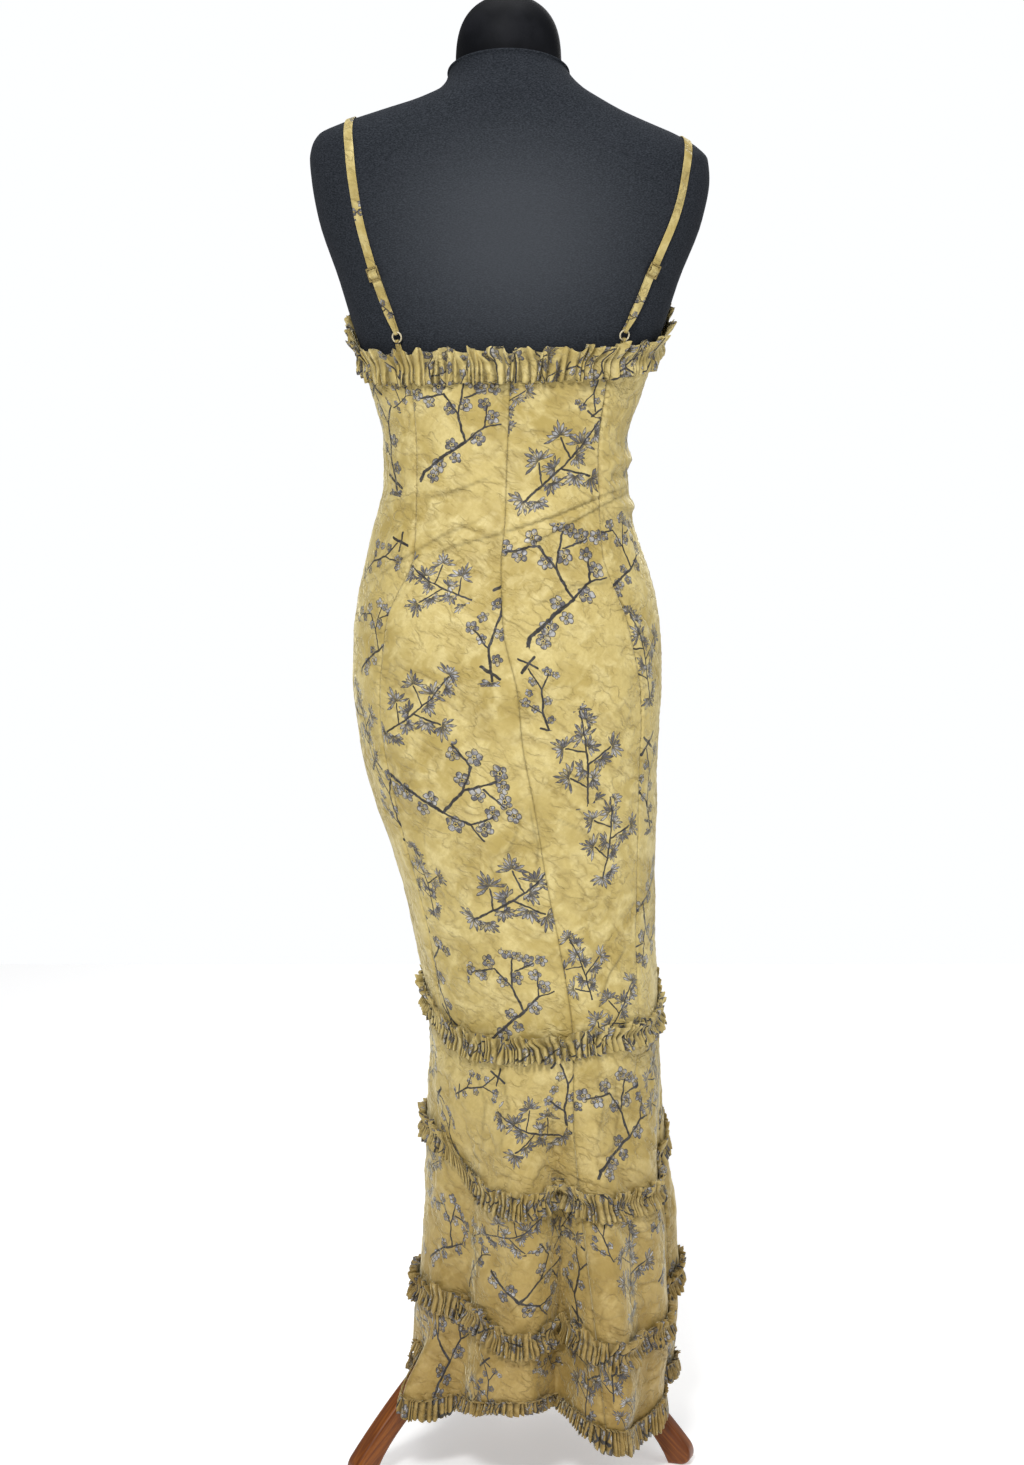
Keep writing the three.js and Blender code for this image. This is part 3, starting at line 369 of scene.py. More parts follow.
CREASES = (
    Crease(((-132, 1028), (-95, 1016), (-40, 994), (10, 978), (60, 964), (104, 944)), 9, 4.8, Fold.LAPPED),
    Crease(((-128, 1020), (-95, 1006), (-45, 980), (8, 954)), 8, 3.9, Fold.LAPPED),
    Crease(((-136, 1058), (-112, 1046), (-84, 1040)), 7, 4.5, Fold.SOFT),
    Crease(((-134, 1036), (-118, 1032), (-98, 1034)), 4, -4.8, Fold.SOFT),
    Crease(((-138, 1008), (-120, 1000), (-96, 1002)), 6, 4.5, Fold.SOFT),
    Crease(((150, 922), (112, 950), (70, 975), (20, 996)), 10, 2.4, Fold.LAPPED),
    Crease(((140, 905), (100, 912), (60, 930)), 12, -2.4),
    Crease(((96, 1010), (60, 1018), (15, 1036)), 9, 2.1, Fold.LAPPED),
    Crease(((-10, 1052), (-50, 1030), (-100, 1020)), 10, -2),
    Crease(((-20, 905), (-60, 925), (-110, 930)), 11, 2.2, Fold.LAPPED),
    Crease(((-55, 880), (-90, 855), (-130, 850)), 12, -2.7),
    Crease(((-62, 880), (-66, 845), (-56, 805)), 13, -3),
    Crease(((-100, 860), (-112, 820), (-104, 770)), 12, 2.4),
    Crease(((40, 860), (80, 850), (120, 858)), 12, 2),
    Crease(((20, 800), (60, 770), (110, 765)), 12, -2.1),
    Crease(((130, 790), (100, 740), (92, 690)), 12, 2.4),
    Crease(((-20, 705), (20, 690), (60, 700)), 14, -3),
    Crease(((-30, 700), (-70, 680), (-110, 640)), 11, 2.1, Fold.SHARP),
    Crease(((-12, 712), (-2, 672), (14, 640)), 9, 2.2, Fold.SHARP),
    Crease(((-16, 712), (-26, 668), (-24, 630)), 9, -2.2, Fold.SHARP),
    Crease(((-14, 716), (10, 700), (40, 670)), 9, 2, Fold.SHARP),
    Crease(((90, 640), (60, 600), (40, 545)), 13, -3),
    Crease(((70, 620), (30, 590), (-20, 585)), 12, 2.2),
    Crease(((-80, 610), (-96, 560), (-90, 500)), 12, -2.7),
    Crease(((-120, 560), (-100, 530), (-85, 490)), 10, 2, Fold.LAPPED),
    Crease(((0, 560), (30, 530), (70, 520)), 12, 2.2),
    Crease(((-20, 530), (0, 500), (-6, 468)), 11, -2.4),
    Crease(((40, 436), (28, 400), (34, 350)), 8, -4.3, Fold.SHARP),
    Crease(((10, 440), (2, 400), (14, 340)), 9, 3.8, Fold.SHARP),
    Crease(((-52, 440), (-40, 405), (-44, 350)), 8, -5.3, Fold.SHARP),
    Crease(((-82, 440), (-92, 400), (-84, 350)), 8, 4.3, Fold.SHARP),
    Crease(((-104, 436), (-110, 390), (-100, 330)), 9, -3.8, Fold.SHARP),
    Crease(((-30, 290), (10, 262), (20, 215)), 9, -4.8),
    Crease(((50, 280), (30, 240), (38, 190)), 8, 4.8, Fold.SHARP),
    Crease(((-60, 280), (-46, 230), (-56, 180)), 9, 4.3, Fold.SHARP),
    Crease(((-100, 280), (-116, 230), (-108, 170)), 9, -4.3),
    Crease(((20, 150), (34, 120), (28, 90)), 9, 4.8, Fold.SHARP),
    Crease(((-70, 150), (-60, 115), (-66, 80)), 8, -4.8, Fold.SHARP),
    Crease(((-130, 140), (-116, 110), (-124, 75)), 9, 3.8),
    Crease(((-120, 1010), (-60, 1000), (20, 1004), (100, 1012)), 12, 3.3, Fold.LAPPED, True),
    Crease(((-100, 960), (-30, 978), (60, 968), (120, 950)), 12, 2.7, Fold.LAPPED, True),
    Crease(((-90, 1110), (-110, 1070), (-112, 1030)), 9, -2.4, Fold.SOFT, True),
    Crease(((88, 1118), (104, 1070), (106, 1032)), 9, -2.4, Fold.SOFT, True),
    Crease(((-120, 880), (-60, 868), (10, 874)), 12, 2.5, Fold.LAPPED, True),
    Crease(((20, 836), (70, 822), (124, 830)), 13, -2.7, Fold.SOFT, True),
    Crease(((-100, 800), (-50, 760), (-36, 700)), 12, -2.7, Fold.SOFT, True),
    Crease(((96, 740), (60, 700), (50, 640)), 11, 2.5, Fold.SHARP, True),
    Crease(((-30, 690), (10, 660), (70, 650)), 13, -2.7, Fold.SOFT, True),
    Crease(((-90, 640), (-60, 590), (-70, 530)), 11, 2.5, Fold.SHARP, True),
    Crease(((30, 600), (10, 560), (20, 520)), 11, -2.7, Fold.SOFT, True),
    Crease(((-60, 500), (-50, 440), (-62, 370)), 9, 3, Fold.SHARP, True),
    Crease(((20, 500), (34, 440), (24, 370)), 9, -3, Fold.SHARP, True),
    Crease(((-100, 340), (-90, 280), (-104, 215)), 9, -4.8, Fold.SOFT, True),
    Crease(((50, 340), (40, 280), (52, 215)), 9, 4.8, Fold.SHARP, True),
)


@dataclass(frozen=True)
class Crumple:
    """The small unevenness that cloth gets all over with wear."""

    broad: float = 1.3
    broad_size: float = 62.0
    fine: float = 0.6
    fine_size: float = 24.0

    broad_noise = (0.9, 2.1, 3)
    fine_noise = (0.9, 2.0, 2, 1.0, 2.0)

    def relief(self, points: Values) -> Values:
        """How far the crumple moves each point out from the cloth."""
        heights = np.empty(len(points))
        for index, point in enumerate(points):
            place = Vector(point)
            broad = noise.fractal(place / self.broad_size, *self.broad_noise)
            ridges = noise.ridged_multi_fractal(place / self.fine_size, *self.fine_noise)
            heights[index] = self.broad * broad + self.fine * (ridges - 1.0)
        return heights


# ---------------------------------------------------------------- the print's layout


class Motif(Enum):
    """What one cluster of the print shows; the value is its material's place on a piece."""

    BLOSSOM = 1
    LEAVES = 2
    TWIG = 3


@dataclass(frozen=True)
class Stamp:
    """One cluster of the print, placed as seen level from the back or the front."""

    motif: Motif
    x: float
    z: float
    turn: float = 0.0
    size: float = 1.0
    flipped: bool = False


MOTIF_REACH = {Motif.BLOSSOM: 62.0, Motif.LEAVES: 68.0, Motif.TWIG: 60.0}
BLOSSOM, LEAVES, TWIG = Motif.BLOSSOM, Motif.LEAVES, Motif.TWIG
BACK_STAMPS = {
    "back_left": (
        Stamp(BLOSSOM, 55, 1080, 0, 1.05), Stamp(LEAVES, 70, 925, 5, 0.82, True),
        Stamp(TWIG, 16, 885, -4, 1.0), Stamp(LEAVES, 98, 800, 10, 0.92),
        Stamp(BLOSSOM, 64, 712, -62, 1.25), Stamp(LEAVES, -2, 612, 0, 1.02), Stamp(LEAVES, 88, 622, 65, 0.62),
        Stamp(BLOSSOM, -2, 505, 4, 1.0), Stamp(TWIG, 78, 530, 12, 1.0),
    ),
    "back_right": (
        Stamp(LEAVES, -50, 1045, 14, 1.02), Stamp(TWIG, -84, 1122, 180, 0.62),
        Stamp(BLOSSOM, -48, 925, 0, 1.25), Stamp(TWIG, -30, 815, 10, 0.75),
        Stamp(LEAVES, -74, 748, 62, 0.95), Stamp(LEAVES, -98, 672, 52, 0.85),
        Stamp(LEAVES, -72, 532, 75, 0.72), Stamp(LEAVES, 6, 1110, 60, 0.62),
        Stamp(LEAVES, -104, 482, 18, 0.8),
    ),
    "side_left": (
        Stamp(TWIG, 124, 1075, 12, 1.05), Stamp(BLOSSOM, 116, 1112, 0, 0.45),
        Stamp(TWIG, 132, 950, -48, 0.7), Stamp(BLOSSOM, 138, 868, 10, 0.75),
        Stamp(TWIG, 122, 700, 20, 0.9), Stamp(LEAVES, 150, 780, 80, 0.7),
    ),
    "side_right": (
        Stamp(BLOSSOM, -114, 950, -8, 0.85), Stamp(LEAVES, -134, 850, 70, 0.85),
        Stamp(BLOSSOM, -138, 585, 178, 1.0), Stamp(LEAVES, -124, 1075, 30, 0.7),
        Stamp(TWIG, -140, 720, 6, 0.9),
    ),
    "tier1_back_left": (
        Stamp(TWIG, 35, 412, -60, 0.6), Stamp(LEAVES, -22, 372, 10, 0.78, True),
        Stamp(TWIG, -56, 410, 14, 0.8), Stamp(TWIG, 62, 350, 28, 0.9), Stamp(BLOSSOM, 84, 420, 0, 0.7),
    ),
    "tier1_back_right": (Stamp(BLOSSOM, -112, 372, 0, 1.05), Stamp(LEAVES, -150, 400, 60, 0.8)),
    "tier2_back_left": (
        Stamp(LEAVES, 84, 318, 60, 0.55), Stamp(LEAVES, 2, 266, -6, 0.7), Stamp(BLOSSOM, 66, 250, 0, 0.75),
        Stamp(BLOSSOM, -16, 214, -58, 1.1), Stamp(TWIG, -68, 222, 4, 0.9), Stamp(BLOSSOM, 38, 236, 20, 0.7),
        Stamp(LEAVES, -52, 272, 20, 0.7), Stamp(TWIG, 96, 200, 15, 0.7),
    ),
    "tier2_back_right": (
        Stamp(LEAVES, -120, 226, 48, 0.85), Stamp(TWIG, -94, 262, 20, 0.6), Stamp(BLOSSOM, -158, 240, 0, 0.8),
    ),
    "tier3_back_left": (
        Stamp(BLOSSOM, 74, 128, 24, 0.85), Stamp(TWIG, 24, 112, 10, 0.55), Stamp(LEAVES, -76, 128, 65, 0.85),
        Stamp(TWIG, 96, 150, -40, 0.7), Stamp(BLOSSOM, -38, 146, 170, 0.6), Stamp(LEAVES, 40, 92, 10, 0.6),
    ),
    "tier3_back_right": (Stamp(LEAVES, -120, 92, 30, 0.55), Stamp(LEAVES, -98, 136, 62, 0.75)),
}


@dataclass(frozen=True)
class Repeat:
    """The half-drop repeat that fills the pieces which no table covers."""

    across: float = 118.0
    down: float = 132.0
    jitter: float = 14.0

    motifs = (BLOSSOM, LEAVES, TWIG, LEAVES, BLOSSOM)
    turns = (0, 12, -14, 60, -58, 172)
    sizes = (0.72, 1.05)
    flipped = 0.4

    def stamps(self, width: float, height: float, seed: int) -> list[Stamp]:
        """Stamps over a piece of cloth.

        Args:
            width: How far the piece reaches each side of its middle.
            height: The piece's height.
            seed: Which piece it is.

        Returns:
            Stamps whose x and z are the cloth's own coordinates.
        """
        chance = random.Random(seed)
        found = []
        columns = int(width / self.across) + 1
        for column in range(-columns, columns + 1):
            drop = self.down / 2 if column % 2 else 0.0
            for row in range(-1, int(height / self.down) + 2):
                x = column * self.across + chance.uniform(-self.jitter, self.jitter)
                z = row * self.down + drop + chance.uniform(-self.jitter, self.jitter)
                motif = self.motifs[(row * 2 + column * 3) % len(self.motifs)]
                turn = chance.choice(self.turns)
                size = chance.uniform(*self.sizes)
                found.append(Stamp(motif, x, z, turn, size, chance.random() < self.flipped))
        return found


# ---------------------------------------------------------------- meshes of cloth


@dataclass
class ClothMesh:
    """A grid of cloth: its points in millimetres and its own flat coordinates."""

    name: str
    points: Values
    flat: Values
    # deep: the painted shade share of each point, which build stores as the fold attribute.
    deep: Values | None = None

    @staticmethod
    def lay(name: str, points: Values) -> ClothMesh:
        """Works out the flat coordinates of a grid of points by the lengths along it."""
        across = np.linalg.norm(np.diff(points, axis=0), axis=2)
        along = np.concatenate([np.zeros((1, points.shape[1])), np.cumsum(across, axis=0)])
        along = along - along[len(along) // 2]
        up = np.linalg.norm(np.diff(points, axis=1), axis=2)
        height = np.concatenate([np.zeros((points.shape[0], 1)), np.cumsum(up, axis=1)], axis=1)
        height = np.tile(height.mean(axis=0), (points.shape[0], 1))
        return ClothMesh(name, points, np.stack([along, height], axis=-1))

    @property
    def cut(self) -> tuple[float, float, float]:
        """The width, length and area of the flat piece, in metres and square metres."""
        run = np.linalg.norm(np.diff(self.points, axis=0), axis=2)
        rise = np.linalg.norm(np.diff(self.points, axis=1), axis=2)
        area = (run[:, :-1] * rise[:-1, :]).sum() * MM * MM
        width, length = run.sum(axis=0).max() * MM, rise.sum(axis=1).max() * MM
        return width, length, min(area, width * length)

    def build(self, closed: bool = False) -> bpy.types.Object:
        """Makes the piece's object from a square grid.

        Args:
            closed: True where the last column meets the first.

        Returns:
            The object, with its cloth coordinates as a UV map.
        """
        columns, rows = self.points.shape[0] - 1, self.points.shape[1] - 1
        form = bmesh.new()
        bmesh.ops.create_grid(form, x_segments=columns, y_segments=rows, size=1)
        layer = form.loops.layers.uv.new("cloth")
        # The painted shade share goes to each vertex as the fold attribute.
        fold = form.verts.layers.float.new("fold") if self.deep is not None else None
        for vertex in form.verts:
            i = round((vertex.co.x + 1) / 2 * columns)
            j = round((vertex.co.y + 1) / 2 * rows)
            if fold:
                vertex[fold] = self.deep[i, j]
            vertex.co = self.points[i, j] * MM
            flat = self.flat[i, j] * MM
            for loop in vertex.link_loops:
                loop[layer].uv = flat
        if closed:
            bmesh.ops.remove_doubles(form, verts=form.verts, dist=0.00002)
        return finished(form, self.name)


def finished(form: bmesh.types.BMesh, name: str) -> bpy.types.Object:
    """Turns a bmesh into an object in the scene, shaded smooth."""
    mesh = bpy.data.meshes.new(name)
    form.to_mesh(mesh)
    form.free()
    mesh.polygons.foreach_set("use_smooth", [True] * len(mesh.polygons))
    piece = bpy.data.objects.new(name, mesh)
    bpy.context.scene.collection.objects.link(piece)
    return piece


def print_on(piece: bpy.types.Object, stamps: list[Stamp], places: list[tuple[float, float]]) -> None:
    """Gives each face the stamp it lies under, as the stamp's own coordinates and a material.

    Args:
        piece: The cloth, with its UV map in metres.
        stamps: The clusters of the print.
        places: Where the middle of each is in the cloth's coordinates, in millimetres.
    """
    mesh = piece.data
    loops = len(mesh.loops)
    uv = np.empty(loops * 2)
    mesh.uv_layers["cloth"].data.foreach_get("uv", uv)
    uv = uv.reshape(-1, 2) / MM
    starts = np.empty(len(mesh.polygons), int)
    mesh.polygons.foreach_get("loop_start", starts)
    counts = np.empty(len(mesh.polygons), int)
    mesh.polygons.foreach_get("loop_total", counts)
    owner = np.repeat(np.arange(len(mesh.polygons)), counts)
    middles = np.add.reduceat(uv, starts, axis=0) / counts[:, None]
    nearest = np.full(len(middles), 1.0)
    chosen = np.full(len(middles), -1)
    for index, (stamp, place) in enumerate(zip(stamps, places)):
        reach = MOTIF_REACH[stamp.motif] * stamp.size
        distance = np.hypot(*(middles - place).T) / reach
        closer = distance < nearest
        nearest, chosen = np.where(closer, distance, nearest), np.where(closer, index, chosen)
    local = np.zeros((loops, 3))
    materials = np.zeros(len(middles), int)
    for index, (stamp, place) in enumerate(zip(stamps, places)):
        turn = math.radians(stamp.turn)
        mine = chosen[owner] == index
        offset = (uv[mine] - place) / stamp.size
        x = offset[:, 0] * math.cos(turn) + offset[:, 1] * math.sin(turn)
        y = offset[:, 1] * math.cos(turn) - offset[:, 0] * math.sin(turn)
        local[mine, 0] = -x if stamp.flipped else x
        local[mine, 1] = y
        local[mine, 2] = index
        materials[chosen == index] = stamp.motif.value
    attribute = mesh.attributes.new("stamp", "FLOAT_VECTOR", "CORNER")
    attribute.data.foreach_set("vector", local.ravel())
    mesh.polygons.foreach_set("material_index", materials)


def stiffen(piece: bpy.types.Object, thickness: float) -> None:
    """Gives a sheet its thickness in millimetres, inwards from its face."""
    solid = piece.modifiers.new("thickness", "SOLIDIFY")
    solid.thickness = thickness * MM
    solid.offset = -1
    solid.use_even_offset = False


def claim(piece: bpy.types.Object, node: str) -> None:
    """Rides a piece on the body in place of a node of the frame."""
    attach(piece, BODY)
    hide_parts(node)
    LOG.info("%s: %d faces in place of %s", piece.name, len(piece.data.polygons), node)


# ---------------------------------------------------------------- shader graphs


Feed = float | tuple[float, ...] | bpy.types.NodeSocket


@dataclass
class Graph:
    """Adds nodes to a tree and joins them."""

    tree: bpy.types.NodeTree

    def node(
        self, kind: str, feeds: dict[str | int, Feed] | None = None, **settings: object,
    ) -> bpy.types.Node:
        """Adds one node.

        Args:
            kind: The node's Blender type.
            feeds: What each of its inputs gets.
            settings: Its properties.

        Returns:
            The node.
        """
        made = self.tree.nodes.new(kind)
        for name, value in settings.items():
            setattr(made, name, value)
        for key, value in (feeds or {}).items():
            self.feed(made.inputs[key], value)
        return made

    def feed(self, socket: bpy.types.NodeSocket, value: Feed) -> None:
        """Links a socket to an input, or sets the input's value."""
        if isinstance(value, bpy.types.NodeSocket):
            self.tree.links.new(value, socket)
        else:
            socket.default_value = value

    def math(self, operation: str, *values: Feed, clamp: bool = False) -> bpy.types.NodeSocket:
        """One sum on numbers."""
        feeds = dict(enumerate(values))
        return self.node("ShaderNodeMath", feeds, operation=operation, use_clamp=clamp).outputs[0]

    def vector(self, operation: str, *values: Feed) -> bpy.types.NodeSocket:
        """One sum on vectors; SCALE takes its factor last."""
        feeds = dict(enumerate(values))
        if operation == "SCALE":
            feeds = {0: values[0], "Scale": values[1]}
        made = self.node("ShaderNodeVectorMath", feeds, operation=operation)
        number = operation in ("LENGTH", "DOT_PRODUCT", "DISTANCE")
        return made.outputs["Value" if number else "Vector"]

    def share(self, value: Feed, low: float, high: float) -> bpy.types.NodeSocket:
        """Where a value lies between two, eased and kept from 0 to 1."""
        feeds = {"Value": value, "From Min": low, "From Max": high}
        made = self.node("ShaderNodeMapRange", feeds, interpolation_type="SMOOTHSTEP")
        return made.outputs[0]

    def mixed(self, factor: Feed, first: Feed, second: Feed, blend: str = "MIX") -> bpy.types.NodeSocket:
        """Mixes two colours."""
        made = self.node("ShaderNodeMix", None, data_type="RGBA", blend_type=blend)
        self.feed(made.inputs["Factor"], factor)
        colours = [socket for socket in made.inputs if socket.type == "RGBA"]
        self.feed(colours[0], first)
        self.feed(colours[1], second)
        return next(socket for socket in made.outputs if socket.type == "RGBA")

    def noise(self, place: Feed, scale: float, detail: float = 2.0, distortion: float = 0.0,
              kind: str = "FBM") -> bpy.types.NodeSocket:
        """A noise value at a place."""
        feeds = {"Vector": place, "Scale": scale, "Detail": detail, "Distortion": distortion}
        return self.node("ShaderNodeTexNoise", feeds, noise_type=kind).outputs[0]

    def group(self, tree: bpy.types.NodeTree, feeds: dict[str, Feed]) -> bpy.types.Node:
        """Adds a node group."""
        return self.node("ShaderNodeGroup", feeds, node_tree=tree)

    def least(self, values: list[Feed]) -> bpy.types.NodeSocket:
        """The smallest of several numbers."""
        found = values[0]
        for value in values[1:]:
            found = self.math("MINIMUM", found, value)
        return found

    def times(self, share: Feed, factor: Feed) -> bpy.types.NodeSocket:
        """A number times another."""
        return self.math("MULTIPLY", share, factor)

    def place(self) -> bpy.types.NodeSocket:
        """Where a point of the piece is, in metres."""
        return self.node("ShaderNodeTexCoord").outputs["Object"]

    def attribute(self, name: str) -> bpy.types.bpy_prop_collection:
        """The outputs that bring one of the mesh's own attributes."""
        return self.node("ShaderNodeAttribute", None, attribute_name=name).outputs

    def stretched(
        self, place: Feed, turn: tuple[float, ...], factors: tuple[float, ...],
    ) -> bpy.types.NodeSocket:
        """A place turned by degrees, then scaled along each axis."""
        turned_place = self.node("ShaderNodeMapping", {
            "Vector": place, "Rotation": tuple(math.radians(angle) for angle in turn),
        })
        return self.vector("MULTIPLY", turned_place.outputs[0], factors)

    def bump(self, height: Feed, strength: float, distance: float,
             under: Feed | None = None) -> bpy.types.NodeSocket:
        """A normal from a height in metres times the distance, over another normal where given."""
        feeds = {"Strength": strength, "Distance": distance, "Height": height}
        if under is not None:
            feeds["Normal"] = under
        return self.node("ShaderNodeBump", feeds).outputs[0]

    def surface(self, feeds: dict[str, Feed]) -> None:
        """Ends a material in one principled surface."""
        made = self.node("ShaderNodeBsdfPrincipled", feeds)
        self.feed(self.node("ShaderNodeOutputMaterial").inputs[0], made.outputs[0])


def new_group(name: str, inputs: dict[str, str], outputs: dict[str, str]) -> tuple[Graph, dict, dict]:
    """Starts a node group.

    Args:
        name: The group's name.
        inputs: Socket types by name.
        outputs: Socket types by name.

    Returns:
        The graph, the sockets that bring its inputs and the ones that take its outputs.
    """
    tree = bpy.data.node_groups.new(name, "ShaderNodeTree")
    for label, kind in inputs.items():
        tree.interface.new_socket(label, in_out="INPUT", socket_type=kind)
    for label, kind in outputs.items():
        tree.interface.new_socket(label, in_out="OUTPUT", socket_type=kind)
    graph = Graph(tree)
    brought = graph.node("NodeGroupInput").outputs
    taken = graph.node("NodeGroupOutput").inputs
    return graph, {label: brought[label] for label in inputs}, {label: taken[label] for label in outputs}


NUMBER, VECTOR, COLOUR = "NodeSocketFloat", "NodeSocketVector", "NodeSocketColor"


def new_material(name: str) -> tuple[bpy.types.Material, Graph]:
    """A material with an empty node tree."""
    material = bpy.data.materials.new(name)
    material.use_nodes = True
    material.node_tree.nodes.clear()
    return material, Graph(material.node_tree)


# ---------------------------------------------------------------- the print's motifs


@dataclass(frozen=True)
class Strokes:
    """Parts of a motif in millimetres: stems, blossoms and fans of leaves."""

    stems: tuple[tuple[float, float, float, float, float], ...]
    blossoms: tuple[tuple[float, float, float], ...]
    fans: tuple[tuple[float, float, float, float], ...]


MOTIFS = {
    Motif.BLOSSOM: Strokes(
        stems=(
            (-42, -56, -34, -40, 1.3), (-34, -40, -12, -24, 1.2), (-12, -24, 8, -12, 1.1),
            (8, -12, 26, 2, 0.8), (26, 2, 42, 4, 0.6), (8, -12, 1, 14, 1.0), (1, 14, -12, 34, 0.8),
            (-12, 34, -38, 30, 0.7),
            (1, 14, 8, 44, 0.7), (8, 30, 28, 36, 0.7), (26, 2, 30, 22, 0.6),
        ),
        blossoms=(
            (-18, -33, 6.8), (-24, -44, 5.8), (-6, -14, 5.6), (-2, -27, 5.2), (20, -9, 6.6), (34, 11, 6.2),
            (27, 24, 5.6), (-7, 20, 5.6), (-17, 41, 6.2), (-27, 27, 5.6), (-40, 34, 6.2), (-47, 23, 4.8),
            (9, 23, 6.0), (3, 50, 6.2), (14, 45, 5.2), (24, 39, 6.0), (37, 38, 5.6),
        ),
        fans=(),
    ),
    Motif.LEAVES: Strokes(
        stems=(
            (-46, -24, -2, -4, 0.9), (-2, -4, 22, 10, 0.8), (22, 10, 46, 30, 0.7), (-2, -4, 26, -20, 0.8),
            (-24, -14, -22, 8, 0.7), (10, 4, 4, 26, 0.7),
        ),
        blossoms=(),
        fans=(
            (-46, -22, 215, 14), (-33, -27, 268, 12), (-22, 10, 110, 15), (-8, -2, 150, 12), (4, 28, 88, 14),
            (16, 4, 325, 13), (24, 14, 62, 14), (47, 32, 35, 14), (40, 19, 338, 12), (27, -22, 305, 15),
            (11, -15, 248, 13), (-14, -14, 285, 12),
        ),
    ),
    Motif.TWIG: Strokes(
        stems=(
            (0, -54, -5, -22, 1.2), (-5, -22, 3, 10, 1.1), (3, 10, -3, 40, 0.9), (-5, -22, -22, -4, 0.8),
            (3, 10, 20, 27, 0.8), (-14, 37, 12, 54, 1.5), (-10, 56, 10, 38, 1.2), (8, -52, -12, -40, 1.2),
        ),
        blossoms=(
            (-24, -2, 6.0), (-15, 9, 5.0), (20, 31, 6.2), (29, 23, 5.0), (6, -7, 5.8), (-5, 23, 5.4),
            (4, -33, 5.2), (-13, -13, 5.0),
        ),
        fans=((-1, -56, 262, 13),),
    ),
}


